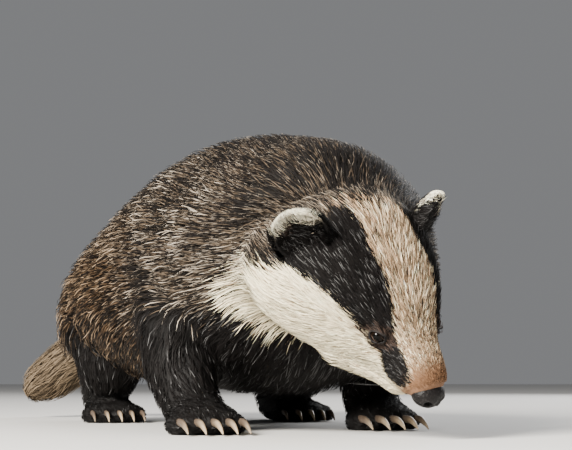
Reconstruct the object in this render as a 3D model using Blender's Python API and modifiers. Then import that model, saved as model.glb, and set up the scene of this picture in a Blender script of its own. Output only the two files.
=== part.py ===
"""A European badger, life size, crouched on its four feet with its nose down to the ground.

Metres, +Z up. +X is the way the trunk faces and +Y is the animal's left. Z = 0 is the ground.
"""

import math
import random
from collections import namedtuple

import bmesh
import bpy
from mathutils import Matrix, Vector

# Driving sizes.
GAP = 0.0003
VOXEL = 0.0042
FLESH_TRIANGLES = 3700
HIDDEN_SHARE = 0.55
SMOOTHING_ROUNDS = 5
RING_SIDES = 28
LIMB_SIDES = 20
LEFT = 1.0
RIGHT = -1.0
CUTTER = 1.2
COLLECTION = "european_badger"

# The trunk's middle, moved so that the origin is under the middle of the whole animal.
ORIGIN = Vector((0.026, 0.002, 0.0))

# The head turns left, points down and leans to its right, in degrees from the trunk's heading.
HEAD_YAW = 34.0
HEAD_PITCH = 55.0
HEAD_ROLL = 16.5
NOSE_TIP = Vector((0.312, 0.027, 0.026))

# Places on the head are in the head's own frame: x back from the nose tip is negative, y left, z up.
EYE_PLACE = Vector((-0.0500, 0.0240, 0.0078))
EYE_FACING = Vector((0.42, 0.84, 0.34))
EYE_RADIUS = 0.0056
LID_RADIUS = 0.0060
LID_THICKNESS = 0.0017
EAR_PLACE = Vector((-0.1200, 0.0590, 0.0265))
EAR_FACING = Vector((0.72, 0.66, 0.10))
EAR_RISE = Vector((-0.25, 0.52, 0.82))
EAR_HALF_WIDTH = 0.0190
EAR_HALF_HEIGHT = 0.0225
EAR_HALF_DEPTH = 0.0110
EAR_WALL = 0.0030
NOSE_PAD = Vector((0.0100, 0.0125, 0.0092))
NOSE_MIDDLE = Vector((-0.0080, 0.0, -0.0040))
NOSTRIL_PLACE = Vector((0.0068, 0.0058, 0.0000))
NOSTRIL_SIZE = Vector((0.0050, 0.0026, 0.0032))

# A cross-section: its middle, then its half width, its reach up and down, and how square it is.
Section = namedtuple("Section", "x y z half_width above below squareness")

TORSO = [
    Section(-0.292, 0.000, 0.114, 0.020, 0.020, 0.020, 2.0),
    Section(-0.280, 0.000, 0.110, 0.066, 0.048, 0.046, 2.0),
    Section(-0.245, 0.000, 0.106, 0.108, 0.074, 0.058, 1.9),
    Section(-0.180, 0.000, 0.105, 0.131, 0.098, 0.074, 1.8),
    Section(-0.090, 0.000, 0.106, 0.137, 0.118, 0.080, 1.8),
    Section(0.000, 0.000, 0.110, 0.131, 0.128, 0.086, 2.0),
    Section(0.080, 0.000, 0.114, 0.123, 0.119, 0.088, 2.1),
    Section(0.140, -0.002, 0.120, 0.111, 0.104, 0.084, 2.2),
    Section(0.190, -0.008, 0.128, 0.086, 0.080, 0.072, 2.1),
]

HEAD = [
    Section(-0.0060, 0, -0.0010, 0.0100, 0.0090, 0.0090, 2.2),
    Section(-0.0120, 0, -0.0010, 0.0150, 0.0125, 0.0125, 2.3),
    Section(-0.0250, 0, -0.0015, 0.0195, 0.0170, 0.0155, 2.3),
    Section(-0.0400, 0, -0.0020, 0.0240, 0.0215, 0.0200, 2.2),
    Section(-0.0540, 0, -0.0025, 0.0330, 0.0285, 0.0290, 2.1),
    Section(-0.0750, 0, -0.0035, 0.0490, 0.0370, 0.0440, 2.1),
    Section(-0.0980, 0, -0.0050, 0.0620, 0.0435, 0.0550, 2.1),
    Section(-0.1200, 0, -0.0070, 0.0670, 0.0485, 0.0610, 2.1),
    Section(-0.1400, 0, -0.0100, 0.0650, 0.0500, 0.0610, 2.1),
    Section(-0.1560, 0, -0.0160, 0.0570, 0.0460, 0.0530, 2.0),
]

# The lower jaw, narrower than the lips that close over it.
JAW = [
    Section(-0.0200, 0, -0.0195, 0.0050, 0.0040, 0.0040, 2.0),
    Section(-0.0240, 0, -0.0200, 0.0105, 0.0070, 0.0070, 2.0),
    Section(-0.0360, 0, -0.0225, 0.0155, 0.0080, 0.0090, 2.0),
    Section(-0.0520, 0, -0.0290, 0.0220, 0.0080, 0.0110, 2.0),
    Section(-0.0700, 0, -0.0380, 0.0280, 0.0080, 0.0110, 2.0),
    Section(-0.0860, 0, -0.0400, 0.0200, 0.0060, 0.0060, 2.0),
]

# A limb or tail is a row of joints: place, half width and half depth of the flesh round it.
Joint = namedtuple("Joint", "x y z half_width half_depth")

NECK = [
    Joint(0.090, -0.002, 0.130, 0.104, 0.098),
    Joint(0.150, -0.004, 0.136, 0.096, 0.088),
    Joint(0.195, -0.009, 0.139, 0.080, 0.074),
    Joint(0.229, -0.008, 0.132, 0.064, 0.058),
]
FORE_LEG = [
    Joint(0.122, 0.058, 0.150, 0.022, 0.034),
    Joint(0.116, 0.068, 0.122, 0.030, 0.042),
    Joint(0.094, 0.084, 0.085, 0.034, 0.042),
    Joint(0.094, 0.089, 0.055, 0.029, 0.034),
    Joint(0.114, 0.088, 0.028, 0.023, 0.025),
    Joint(0.134, 0.087, 0.015, 0.025, 0.018),
    Joint(0.156, 0.086, 0.0110, 0.028, 0.0135),
    Joint(0.169, 0.086, 0.0090, 0.025, 0.0105),
]
HIND_LEG = [
    Joint(-0.205, 0.052, 0.120, 0.030, 0.050),
    Joint(-0.195, 0.072, 0.100, 0.048, 0.068),
    Joint(-0.160, 0.088, 0.076, 0.040, 0.052),
    Joint(-0.166, 0.089, 0.052, 0.030, 0.036),
    Joint(-0.206, 0.084, 0.031, 0.023, 0.026),
    Joint(-0.214, 0.083, 0.016, 0.021, 0.019),
    Joint(-0.178, 0.085, 0.012, 0.024, 0.0150),
    Joint(-0.150, 0.087, 0.010, 0.026, 0.0125),
    Joint(-0.138, 0.087, 0.0090, 0.023, 0.0105),
]
TAIL = [
    Joint(-0.262, -0.006, 0.110, 0.022, 0.022),
    Joint(-0.296, -0.032, 0.098, 0.028, 0.028),
    Joint(-0.326, -0.072, 0.072, 0.030, 0.029),
    Joint(-0.346, -0.104, 0.047, 0.028, 0.027),
    Joint(-0.357, -0.126, 0.029, 0.020, 0.020),
    Joint(-0.363, -0.139, 0.016, 0.008, 0.008),
]
# How much farther forward the left legs stand than the right ones.
FORE_STEP = {LEFT: -0.050, RIGHT: 0.004}
FORE_STANCE = {LEFT: -0.018, RIGHT: 0.0}
HIND_STEP = {LEFT: 0.012, RIGHT: -0.004}

# How far a part's own share of the flesh reaches past its plain shape, where it grows from the trunk.
HEAD_MARGIN = 0.007
LEG_MARGIN = 0.005
TAIL_MARGIN = 0.006
SEAM_TRIANGLES = 300
NECK_PLANE = (Vector((0.140, 0.0, 0.14)), Vector((0.95, 0.10, -0.20)))

# The long hair: how deep it lies over the flesh, and how far a lock's root is sunk in that.
COAT = 0.012
SUNK = 0.005
TAIL_COAT = 0.009
TAIL_LOCKS_ABOVE = 0.02
TRUNK_LOCKS_BEHIND = 0.15
SHORTEST_LOCK = 0.03
SEED = 27
# The long hair hides the skin behind this x and above this z.
HIDDEN_BEHIND = 0.17
HIDDEN_ABOVE = 0.045

TOES = 5
CLAW_SIDES = 6
TOE_RADIUS = 0.0068
TOE_LENGTH = 0.017
TOE_SPREAD = 0.0112
FORE_CLAW = 0.024
HIND_CLAW = 0.014

# A coat of locks: where its first and last rows start along the surface, how far apart rows and
# locks are, how long, wide and thick a lock is, and how far it slants down a flank, in radians.
Coat = namedtuple("Coat", "start end row_step lock_step length width thick slant depth")

BODY_COAT = Coat(0.030, 0.400, 0.055, 0.054, 0.102, 0.056, 0.0050, 0.30, COAT)
NECK_COAT = Coat(0.010, 0.090, 0.040, 0.048, 0.082, 0.050, 0.0050, 0.16, COAT)
TAIL_LOCKS = Coat(0.026, 0.150, 0.042, 0.032, 0.070, 0.030, 0.0040, 0.0, TAIL_COAT)
# How far a lock's tip stands over the outline, and each second lock over its neighbours.
TIP_LIFT = 0.003
STAGGER = 0.0014

# A lock's width and thickness at shares of its length, before its tip.
LOCK_SHAPE = ((0.00, 0.60, 1.0), (0.34, 1.00, 1.0), (0.70, 0.74, 0.8))

# Colour, roughness of each finish.
FINISHES = {
    "black_fur": ((0.020, 0.018, 0.018), 0.8),
    "white_fur": ((0.66, 0.60, 0.50), 0.8),
    "grey_fur": ((0.23, 0.21, 0.19), 0.85),
    "pale_fur": ((0.42, 0.36, 0.28), 0.85),
    "nose_skin": ((0.030, 0.027, 0.028), 0.35),
    "eye": ((0.012, 0.008, 0.006), 0.08),
    "claw": ((0.30, 0.24, 0.17), 0.45),
}


def clear_scene():
    """An empty scene to build in."""
    for old in list(bpy.data.objects):
        bpy.data.objects.remove(old)


def head_frame():
    """The head's own frame: forward, left and up, from the nose tip."""
    turn = (
        Matrix.Rotation(math.radians(HEAD_YAW), 4, "Z")
        @ Matrix.Rotation(math.radians(HEAD_PITCH), 4, "Y")
        @ Matrix.Rotation(math.radians(HEAD_ROLL), 4, "X")
    )
    return Matrix.Translation(NOSE_TIP) @ turn


def spline(values, at):
    """A Catmull-Rom curve through a list of tuples, read at a station number with a fraction."""
    last = len(values) - 1
    i = min(int(at), last - 1)
    t = at - i
    before, start = values[max(i - 1, 0)], values[i]
    end, after = values[i + 1], values[min(i + 2, last)]
    read = []
    for a, b, c, d in zip(before, start, end, after):
        bend = (2 * a - 5 * b + 4 * c - d) * t**2 + (3 * b - a - 3 * c + d) * t**3
        read.append(0.5 * (2 * b + (c - a) * t + bend))
    return read


def smoothed(values, steps):
    """The curve through a list of sections or joints, with a number of steps between each two."""
    kind = type(values[0])
    count = (len(values) - 1) * steps
    return [kind(*spline(values, i / steps)) for i in range(count + 1)]


def rounded(angle, squareness):
    """A point of a superellipse of half size 1."""
    power = 2.0 / squareness
    cos, sin = math.cos(angle), math.sin(angle)
    return math.copysign(abs(cos) ** power, cos), math.copysign(abs(sin) ** power, sin)


def section_rings(sections, steps=3, sides=RING_SIDES, grow=0.0):
    """Rings across the x axis, each one section wide, grown all round by a margin."""
    rings = []
    for s in smoothed(sections, steps):
        ring = []
        for i in range(sides):
            across, rise = rounded(2 * math.pi * i / sides, s.squareness)
            reach = (s.above if rise > 0 else s.below) + grow
            ring.append(Vector((s.x, s.y + across * (s.half_width + grow), s.z + rise * reach)))
        rings.append(ring)
    return rings


def limb_rings(joints, steps=4, sides=LIMB_SIDES, grow=0.0):
    """Rings across a limb's own direction, so that a bend keeps its thickness."""
    path = smoothed(joints, steps)
    places = [Vector((j.x, j.y, j.z)) for j in path]
    rings = []
    for i, joint in enumerate(path):
        along = (places[min(i + 1, len(path) - 1)] - places[max(i - 1, 0)]).normalized()
        side = Vector((0, 1, 0))
        side = (side - along * side.dot(along)).normalized()
        deep = along.cross(side)
        ring = []
        for k in range(sides):
            angle = 2 * math.pi * k / sides
            wide = side * math.cos(angle) * (joint.half_width + grow)
            thick = deep * math.sin(angle) * (joint.half_depth + grow)
            ring.append(places[i] + wide + thick)
        rings.append(ring)
    return rings


def linked(obj):
    """Puts an object in the animal's collection, which it makes at the first call."""
    if COLLECTION not in bpy.data.collections:
        bpy.context.scene.collection.children.link(bpy.data.collections.new(COLLECTION))
    bpy.data.collections[COLLECTION].objects.link(obj)
    return obj


def made(name, mesh):
    """A new object from a bmesh, which is then freed."""
    bmesh.ops.recalc_face_normals(mesh, faces=mesh.faces)
    data = bpy.data.meshes.new(name)
    mesh.to_mesh(data)
    mesh.free()
    return linked(bpy.data.objects.new(name, data))


def loft(name, rings, matrix=None):
    """A closed mesh through a list of rings, with a face at each end."""
    mesh = bmesh.new()
    rows = [[mesh.verts.new(point) for point in ring] for ring in rings]
    sides = len(rings[0])
    for first, second in zip(rows, rows[1:]):
        for i in range(sides):
            j = (i + 1) % sides
            mesh.faces.new((first[i], first[j], second[j], second[i]))
    mesh.faces.new(rows[0][::-1])
    mesh.faces.new(rows[-1])
    if matrix:
        bmesh.ops.transform(mesh, matrix=matrix, verts=mesh.verts)
    return made(name, mesh)


def ellipsoid(name, matrix, size, segments=16):
    """A sphere stretched to three half sizes and set in a frame."""
    mesh = bmesh.new()
    scale = Matrix.Diagonal((*size, 1.0))
    bmesh.ops.create_uvsphere(
        mesh, u_segments=segments, v_segments=segments // 2, radius=1.0, matrix=matrix @ scale
    )
    return made(name, mesh)


def block(name, matrix, size):
    """A box of three full sizes, centred in a frame."""
    mesh = bmesh.new()
    bmesh.ops.create_cube(mesh, size=1.0, matrix=matrix @ Matrix.Diagonal((*size, 1.0)))
    return made(name, mesh)


def facing(place, out, up):
    """A frame at a place: x points out, z points as near up as it can."""
    x = out.normalized()
    y = up.cross(x).normalized()
    z = x.cross(y)
    turn = Matrix((x, y, z)).transposed().to_4x4()
    return Matrix.Translation(place) @ turn


def on_side(vector, side):
    """A place or direction of the left side, on the side asked for."""
    return Vector((vector.x, vector.y * side, vector.z))


def stepped(joints, side, step, stance=0.0):
    """A left limb's joints on the side asked for, moved forward and outward more and more to the foot."""
    top = joints[0].z
    moved = []
    for j in joints:
        share = 1 - j.z / top
        moved.append(j._replace(x=j.x + step * share, y=(j.y + stance * share) * side))
    return moved


def joined(pieces, name):
    """Several closed meshes as one object, still overlapping."""
    mesh = bmesh.new()
    for piece in pieces:
        mesh.from_mesh(piece.data)
        bpy.data.objects.remove(piece)
    return made(name, mesh)


def applied(obj):
    """Makes the object's mesh what its modifiers show, and drops them."""
    bpy.context.view_layer.update()
    graph = bpy.context.evaluated_depsgraph_get()
    data = bpy.data.meshes.new_from_object(obj.evaluated_get(graph))
    obj.modifiers.clear()
    obj.data = data
    return obj


def fused(obj, triangles, rounds):
    """One smooth skin over everything in the object, with about that many triangles."""
    remesh = obj.modifiers.new("fuse", "REMESH")
    remesh.mode = "VOXEL"
    remesh.voxel_size = VOXEL
    soften = obj.modifiers.new("soften", "SMOOTH")
    soften.iterations = rounds
    applied(obj)
    thin = obj.modifiers.new("thin", "DECIMATE")
    thin.ratio = triangles / (2 * len(obj.data.polygons))
    return applied(obj)


def coarsened(body):
    """Fewer triangles where the long coat covers the skin."""
    hidden = body.vertex_groups.new(name="hidden")
    for vert in body.data.vertices:
        if vert.co.x < HIDDEN_BEHIND and vert.co.z > HIDDEN_ABOVE:
            hidden.add([vert.index], 1.0, "REPLACE")
    thin = body.modifiers.new("thin", "DECIMATE")
    thin.ratio = HIDDEN_SHARE
    thin.vertex_group = hidden.name
    applied(body)
    body.vertex_groups.clear()
    return body


def copied(obj, name):
    new = bpy.data.objects.new(name, obj.data.copy())
    return linked(new)


def grown(obj, by):
    """Moves the surface out by a distance along its normals."""
    displace = obj.modifiers.new("grow", "DISPLACE")
    displace.mid_level = 0.0
    displace.strength = by
    return applied(obj)


def boolean(obj, other, operation):
    """Cuts or joins a mesh with another, and removes the other."""
    cut = obj.modifiers.new("cut", "BOOLEAN")
    cut.operation = operation
    # The exact solver leaves open edges and scraps where these finely faceted skins graze each other.
    cut.solver = "MANIFOLD"
    cut.object = other
    applied(obj)
    bpy.data.objects.remove(other)
    return largest(obj)


def largest(obj):
    """Keeps only the object's largest closed surface."""
    mesh = bmesh.new()
    mesh.from_mesh(obj.data)
    left = set(mesh.verts)
    shells = []
    while left:
        shell, edge = set(), [left.pop()]
        while edge:
            vert = edge.pop()
            shell.add(vert)
            near = {e.other_vert(vert) for e in vert.link_edges} & left
            left -= near
            edge.extend(near)
        shells.append(shell)
    shells.sort(key=len)
    for shell in shells[:-1]:
        bmesh.ops.delete(mesh, geom=list(shell), context="VERTS")
    mesh.to_mesh(obj.data)
    mesh.free()
    return obj


def taken(body, region, name):
    """Takes the body's share inside a region as a new object, and leaves a gap round it."""
    piece = copied(body, name)
    outer = grown(copied(region, "outer"), GAP)
    boolean(piece, region, "INTERSECT")
    boolean(body, outer, "DIFFERENCE")
    return piece


def near(part, other):
    """Whether two parts' boxes meet."""
    for axis in range(3):
        mine = [v.co[axis] for v in part.data.vertices]
        its = [v.co[axis] for v in other.data.vertices]
        if min(mine) > max(its) + GAP or min(its) > max(mine) + GAP:
            return False
    return True


def cleared(part, others, growths=(GAP, GAP / 5, 0.0)):
    """Cuts a part back from others. The smaller growths catch what the gap's own misses at sharp tips."""
    for other in others:
        if near(part, other):
            for by in growths:
                boolean(part, grown(copied(other, "grown"), by), "DIFFERENCE")
    return part


def split(body, plane, front_name):
    """Parts the body at a plane with a gap, and returns what is in front of it."""
    place, normal = plane
    front = copied(body, front_name)
    turn = facing(place, normal, Vector((0, 0, 1)))
    ahead = block("ahead", turn @ Matrix.Translation((CUTTER / 2 + GAP, 0, 0)), (CUTTER,) * 3)
    behind = block("behind", turn @ Matrix.Translation((-CUTTER / 2, 0, 0)), (CUTTER,) * 3)
    boolean(front, ahead, "INTERSECT")
    boolean(body, behind, "INTERSECT")
    return front


def outline_point(rings, column, along):
    """A point of a surface given by rings, and its normal and lie, a way along from the first ring."""
    sides = len(rings[0])

    def line(at):
        low, share = math.floor(at), at - math.floor(at)
        return [ring[low % sides].lerp(ring[(low + 1) % sides], share) for ring in rings]

    middle, beside = line(column), line(column + 0.5)
    left = along
    for i in range(len(rings) - 1):
        step = (middle[i + 1] - middle[i]).length
        if left <= step or i == len(rings) - 2:
            break
        left -= step
    share = min(left / step, 1.0)
    place = middle[i].lerp(middle[i + 1], share)
    lie = (middle[i + 1] - middle[i]).normalized()
    across = beside[i].lerp(beside[i + 1], share) - place
    normal = lie.cross(across).normalized()
    centre = sum(rings[i], Vector()) / sides
    if normal.dot(place - centre) < 0:
        normal.negate()
    return place, normal, lie


def ring_length(rings, along):
    """The way round a surface, at a way along from its first ring."""
    sides = len(rings[0])
    points = [outline_point(rings, i, along)[0] for i in range(sides)]
    return sum((points[i] - points[i - 1]).length for i in range(sides))


def line_length(rings, column):
    points = [ring[int(column) % len(ring)] for ring in rings]
    return sum((b - a).length for a, b in zip(points, points[1:]))


def lock(rings, column, along, coat, slant, scale, lift):
    """A flat tapered lock, rooted in the flesh, that bends up to the outline along its lie."""
    length = min(coat.length * scale, line_length(rings, column) - along)
    around = ring_length(rings, along)
    spread = coat.width * 0.5 / around * len(rings[0])
    shape = []
    for share, wide, thick in LOCK_SHAPE:
        place, normal, lie = outline_point(rings, column + slant * share, along + length * share)
        rise = (coat.depth + TIP_LIFT) * share - coat.depth + lift
        if share == 0:
            rise -= SUNK
        middle = place + normal * (rise + coat.thick * thick)
        ring = [middle]
        for turn in (-1, 1):
            beside = spread * turn * wide * scale
            edge, out, lie = outline_point(
                rings, column + slant * share + beside, along + length * share
            )
            ring.append(edge + out * rise)
        shape.append(ring)
    place, normal, lie = outline_point(rings, column + slant, along + length)
    tip = place + normal * (TIP_LIFT + lift)
    mesh = bmesh.new()
    rows = [[mesh.verts.new(point) for point in ring] for ring in shape]
    for first, second in zip(rows, rows[1:]):
        for i in range(3):
            j = (i + 1) % 3
            mesh.faces.new((first[i], first[j], second[j], second[i]))
    end = mesh.verts.new(tip)
    for i in range(3):
        mesh.faces.new((rows[-1][i], rows[-1][(i + 1) % 3], end))
    mesh.faces.new(rows[0])
    bmesh.ops.triangulate(mesh, faces=mesh.faces)
    return made("lock", mesh)


def coat_locks(rings, coat, lowest=0.0, foremost=math.inf):
    """Rows of locks over a surface, each row set between the locks of the one before."""
    seeded = random.Random(SEED)
    sides = len(rings[0])
    locks = []
    row = 0
    along = coat.start
    while along < coat.end:
        count = max(5, round(ring_length(rings, along) / coat.lock_step))
        for i in range(count):
            column = (i + 0.5 * (row % 2) + seeded.uniform(-0.05, 0.05)) * sides / count
            start = along + seeded.uniform(-0.12, 0.12) * coat.row_step
            scale = seeded.uniform(0.92, 1.06)
            place = outline_point(rings, column, start)[0]
            if place.z < lowest or place.x > foremost:
                continue
            if line_length(rings, column) - start < SHORTEST_LOCK:
                continue
            # The flanks' hair slants down, to the left of the surface's columns or to the right.
            turn = math.cos(2 * math.pi * column / sides)
            slant = -turn * coat.slant * sides / (2 * math.pi)
            lift = STAGGER * (i % 2)
            locks.append(lock(rings, column, start, coat, slant, scale, lift))
        along += coat.row_step
        row += 1
    return locks


def coated(part, locks):
    """Joins locks to a part in one union, and removes them."""
    group = bpy.data.collections.new("locks")
    for item in locks:
        group.objects.link(item)
    union = part.modifiers.new("coat", "BOOLEAN")
    union.operation = "UNION"
    union.operand_type = "COLLECTION"
    union.solver = "MANIFOLD"
    union.collection = group
    applied(part)
    for item in locks:
        bpy.data.objects.remove(item)
    bpy.data.collections.remove(group)
    return largest(part)


def toe_places(tip, width):
    """The middles of a paw's toes, spread in an arc at its front."""
    places = []
    for i in range(TOES):
        off = i - (TOES - 1) / 2
        back = 0.0022 * off * off
        places.append(Vector((tip.x - back, tip.y + off * width, TOE_RADIUS * 0.95)))
    return places


def toes(tip):
    """Five short rounded toes."""
    return [
        ellipsoid("toe", Matrix.Translation(place), (TOE_LENGTH, TOE_RADIUS, TOE_RADIUS * 1.25))
        for place in toe_places(tip, TOE_SPREAD)
    ]


def paw_tip(joints):
    return Vector((joints[-1].x - 0.004, joints[-1].y, joints[-1].z))


def claw(name, root, length):
    """A long curved claw, out and down from a toe."""
    thick = 0.0030 if length > HIND_CLAW else 0.0026
    joints = [
        Joint(root.x - 0.006, root.y, root.z + 0.0020, thick * 0.75, thick),
        Joint(root.x + length * 0.35, root.y, root.z + 0.0015, thick * 0.68, thick * 0.9),
        Joint(root.x + length * 0.75, root.y, root.z - 0.0016, thick * 0.45, thick * 0.6),
        Joint(root.x + length, root.y, root.z - 0.0052, 0.0004, 0.0005),
    ]
    return loft(name, limb_rings(joints, 1, CLAW_SIDES))


def limbs():
    """Each limb's name and joints."""
    found = {}
    for side, word in ((LEFT, "left"), (RIGHT, "right")):
        found[f"fore_leg_{word}"] = stepped(
            FORE_LEG, side, FORE_STEP[side], FORE_STANCE[side]
        )
        found[f"hind_leg_{word}"] = stepped(HIND_LEG, side, HIND_STEP[side])
    return found


def flesh():
    """The whole body in one closed skin, before it is parted."""
    frame = head_frame()
    pieces = [
        loft("trunk", section_rings(TORSO, grow=-COAT)),
        loft("skull", section_rings(HEAD), frame),
        loft("nape", limb_rings(NECK, 4, RING_SIDES, -COAT)),
        loft("brush", limb_rings(TAIL, grow=-TAIL_COAT)),
    ]
    for joints in limbs().values():
        pieces.append(loft("limb", limb_rings(joints)))
        pieces.extend(toes(paw_tip(joints)))
    body = fused(joined(pieces, "torso"), FLESH_TRIANGLES, SMOOTHING_ROUNDS)
    ground = block("ground", Matrix.Translation((0, 0, -CUTTER / 2)), (CUTTER,) * 3)
    return boolean(coarsened(body), ground, "DIFFERENCE")


def region(name, rings, matrix=None):
    """A coarse closed shape that claims a part of the flesh."""
    return fused(loft(name, rings, matrix), SEAM_TRIANGLES, 2)


def eyeball(frame, side, radius, name):
    place = frame @ on_side(EYE_PLACE, side)
    return ellipsoid(name, Matrix.Translation(place), (radius,) * 3, 14)


def lids(frame, side):
    """A raised almond rim round an eye."""
    out = on_side(EYE_FACING, side)
    turn = frame @ facing(on_side(EYE_PLACE, side), out, Vector((-0.35, 0, 1)))
    rim = []
    count, sides = 18, 6
    for i in range(count):
        angle = 2 * math.pi * i / count
        middle = Vector((0.0028, math.cos(angle) * LID_RADIUS * 1.12, math.sin(angle) * LID_RADIUS * 0.8))
        away = Vector((0, math.cos(angle), math.sin(angle)))
        ring = []
        for k in range(sides):
            around = 2 * math.pi * k / sides
            ring.append(
                middle
                + away * math.cos(around) * LID_THICKNESS
                + Vector((1, 0, 0)) * math.sin(around) * LID_THICKNESS * 1.2
            )
        rim.append(ring)
    mesh = bmesh.new()
    rows = [[mesh.verts.new(turn @ point) for point in ring] for ring in rim]
    for i in range(count):
        first, second = rows[i], rows[(i + 1) % count]
        for k in range(sides):
            j = (k + 1) % sides
            mesh.faces.new((first[k], first[j], second[j], second[k]))
    return made("lids", mesh)


def ear(frame, side, name):
    """A rounded ear, cupped towards the front and the side."""
    out = on_side(EAR_FACING, side)
    rise = on_side(EAR_RISE, side)
    turn = frame @ facing(on_side(EAR_PLACE, side), out, rise)
    size = (EAR_HALF_DEPTH, EAR_HALF_WIDTH, EAR_HALF_HEIGHT)
    shell = ellipsoid(name, turn, size, 16)
    hollow = turn @ Matrix.Translation((EAR_HALF_DEPTH * 0.62, 0, -0.001))
    inner = tuple(s - EAR_WALL * f for s, f in zip(size, (0.2, 1.0, 1.0)))
    return boolean(shell, ellipsoid("hollow", hollow, inner, 16), "DIFFERENCE")


def nose(frame, grow, name):
    size = tuple(s + grow for s in NOSE_PAD)
    return ellipsoid(name, frame @ Matrix.Translation(NOSE_MIDDLE), size, 16)


def build_nose(frame):
    """The bare nose pad with its two nostrils."""
    pad = nose(frame, 0.0, "nose")
    for side in (LEFT, RIGHT):
        place = frame @ Matrix.Translation(NOSE_MIDDLE + on_side(NOSTRIL_PLACE, side))
        turn = place @ Matrix.Rotation(side * math.radians(35), 4, "Z")
        boolean(pad, ellipsoid("nostril", turn, NOSTRIL_SIZE, 8), "DIFFERENCE")
    return pad


def build_head(body, frame):
    """The head with its sockets, lids, mouth, jaw, nose, eyes and ears."""
    head = taken(body, region("head_share", section_rings(HEAD, 2, 20, HEAD_MARGIN), frame), "head")
    made_parts = [head, build_nose(frame)]
    boolean(head, nose(frame, GAP, "pad"), "DIFFERENCE")
    jaw = loft("lower_jaw", section_rings(JAW, 2, 12), frame)
    boolean(head, grown(copied(jaw, "mouth"), GAP), "DIFFERENCE")
    made_parts.append(jaw)
    for side, word in ((LEFT, "left"), (RIGHT, "right")):
        boolean(head, lids(frame, side), "UNION")
        boolean(head, eyeball(frame, side, EYE_RADIUS + GAP, "socket"), "DIFFERENCE")
        made_parts.append(eyeball(frame, side, EYE_RADIUS, f"eye_{word}"))
        lobe = ear(frame, side, f"ear_{word}")
        boolean(lobe, grown(copied(head, "scalp"), GAP), "DIFFERENCE")
        made_parts.append(lobe)
    return made_parts


def build_leg(body, name, joints):
    """A leg down to its paw, with five claws of its own."""
    fore = name.startswith("fore")
    claims = region("leg_share", limb_rings(joints[2:], 4, LIMB_SIDES, LEG_MARGIN))
    leg = taken(body, claims, name)
    length = FORE_CLAW if fore else HIND_CLAW
    claws = []
    for i, place in enumerate(toe_places(paw_tip(joints), TOE_SPREAD)):
        root = place + Vector((TOE_LENGTH - 0.003, 0, 0.0005))
        claws.append(claw(f"claw_{name.replace('leg_', '')}_{i + 1}", root, length))
    return [cleared(leg, claws), *claws]


def finish_of(name):
    """The finish that each part's name calls for."""
    for word, finish in (
        ("claw", "claw"),
        ("eye", "eye"),
        ("nose", "nose_skin"),
        ("leg", "black_fur"),
        ("ear_", "white_fur"),
        ("head", "white_fur"),
        ("jaw", "white_fur"),
        ("tail", "pale_fur"),
    ):
        if word in name:
            return finish
    return "grey_fur"


def paint(parts):
    """Gives each part its material and smooth shading."""
    materials = {}
    for finish, (colour, roughness) in FINISHES.items():
        material = bpy.data.materials.new(finish)
        material.use_nodes = True
        shader = material.node_tree.nodes["Principled BSDF"]
        shader.inputs["Base Color"].default_value = (*colour, 1.0)
        shader.inputs["Roughness"].default_value = roughness
        materials[finish] = material
    for part in parts:
        part.data.materials.clear()
        part.data.materials.append(materials[finish_of(part.name)])
        part.data.shade_smooth()


def build():
    clear_scene()
    frame = head_frame()
    body = flesh()
    legs = []
    for name, joints in limbs().items():
        legs.extend(build_leg(body, name, joints))
    head = build_head(body, frame)
    tail_share = region("tail_share", limb_rings(TAIL[1:], 4, LIMB_SIDES, TAIL_MARGIN))
    tail = taken(body, tail_share, "tail")
    neck = split(body, NECK_PLANE, "neck")
    coated(tail, coat_locks(limb_rings(TAIL), TAIL_LOCKS, TAIL_LOCKS_ABOVE))
    coated(neck, coat_locks(limb_rings(NECK, 4, RING_SIDES)[::-1], NECK_COAT))
    cleared(neck, head + legs)
    trunk = section_rings(TORSO)[::-1]
    coated(body, coat_locks(trunk, BODY_COAT, foremost=TRUNK_LOCKS_BEHIND))
    cleared(body, [neck, tail] + head + legs)
    cleared(neck, [body], (GAP / 10,))
    parts = [*legs, *head, tail, neck, body]
    for part in parts:
        part.data.transform(Matrix.Translation(ORIGIN))
    paint(parts)


build()
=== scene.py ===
"""A European badger, life size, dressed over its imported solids.

Metres, +Z up. +X is the way the trunk faces and +Y is the animal's left. Z = 0 is the ground.
"""

import math
from collections import namedtuple

import bmesh
import bpy
import numpy as np
from mathutils import Matrix, Vector
from mathutils.kdtree import KDTree


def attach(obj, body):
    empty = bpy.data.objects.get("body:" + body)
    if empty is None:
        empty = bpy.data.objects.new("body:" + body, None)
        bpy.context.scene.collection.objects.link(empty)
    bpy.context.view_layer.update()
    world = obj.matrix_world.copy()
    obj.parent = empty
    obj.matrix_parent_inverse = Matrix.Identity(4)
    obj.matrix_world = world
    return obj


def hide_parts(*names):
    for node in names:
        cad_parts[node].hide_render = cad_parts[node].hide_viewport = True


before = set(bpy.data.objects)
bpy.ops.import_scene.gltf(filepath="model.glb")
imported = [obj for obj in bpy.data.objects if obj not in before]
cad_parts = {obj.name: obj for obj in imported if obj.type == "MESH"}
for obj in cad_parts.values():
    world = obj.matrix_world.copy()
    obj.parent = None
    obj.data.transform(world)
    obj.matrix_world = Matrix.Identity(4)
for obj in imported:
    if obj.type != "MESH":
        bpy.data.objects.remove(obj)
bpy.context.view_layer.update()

# The sizes of the body, as in the solids.
LEFT = 1.0
RIGHT = -1.0
SIDES = ((LEFT, "left"), (RIGHT, "right"))
ORIGIN = Vector((0.026, 0.002, 0.0))
HEAD_YAW = 34.0
HEAD_PITCH = 55.0
HEAD_ROLL = 16.5
NOSE_TIP = Vector((0.312, 0.027, 0.026))

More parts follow.
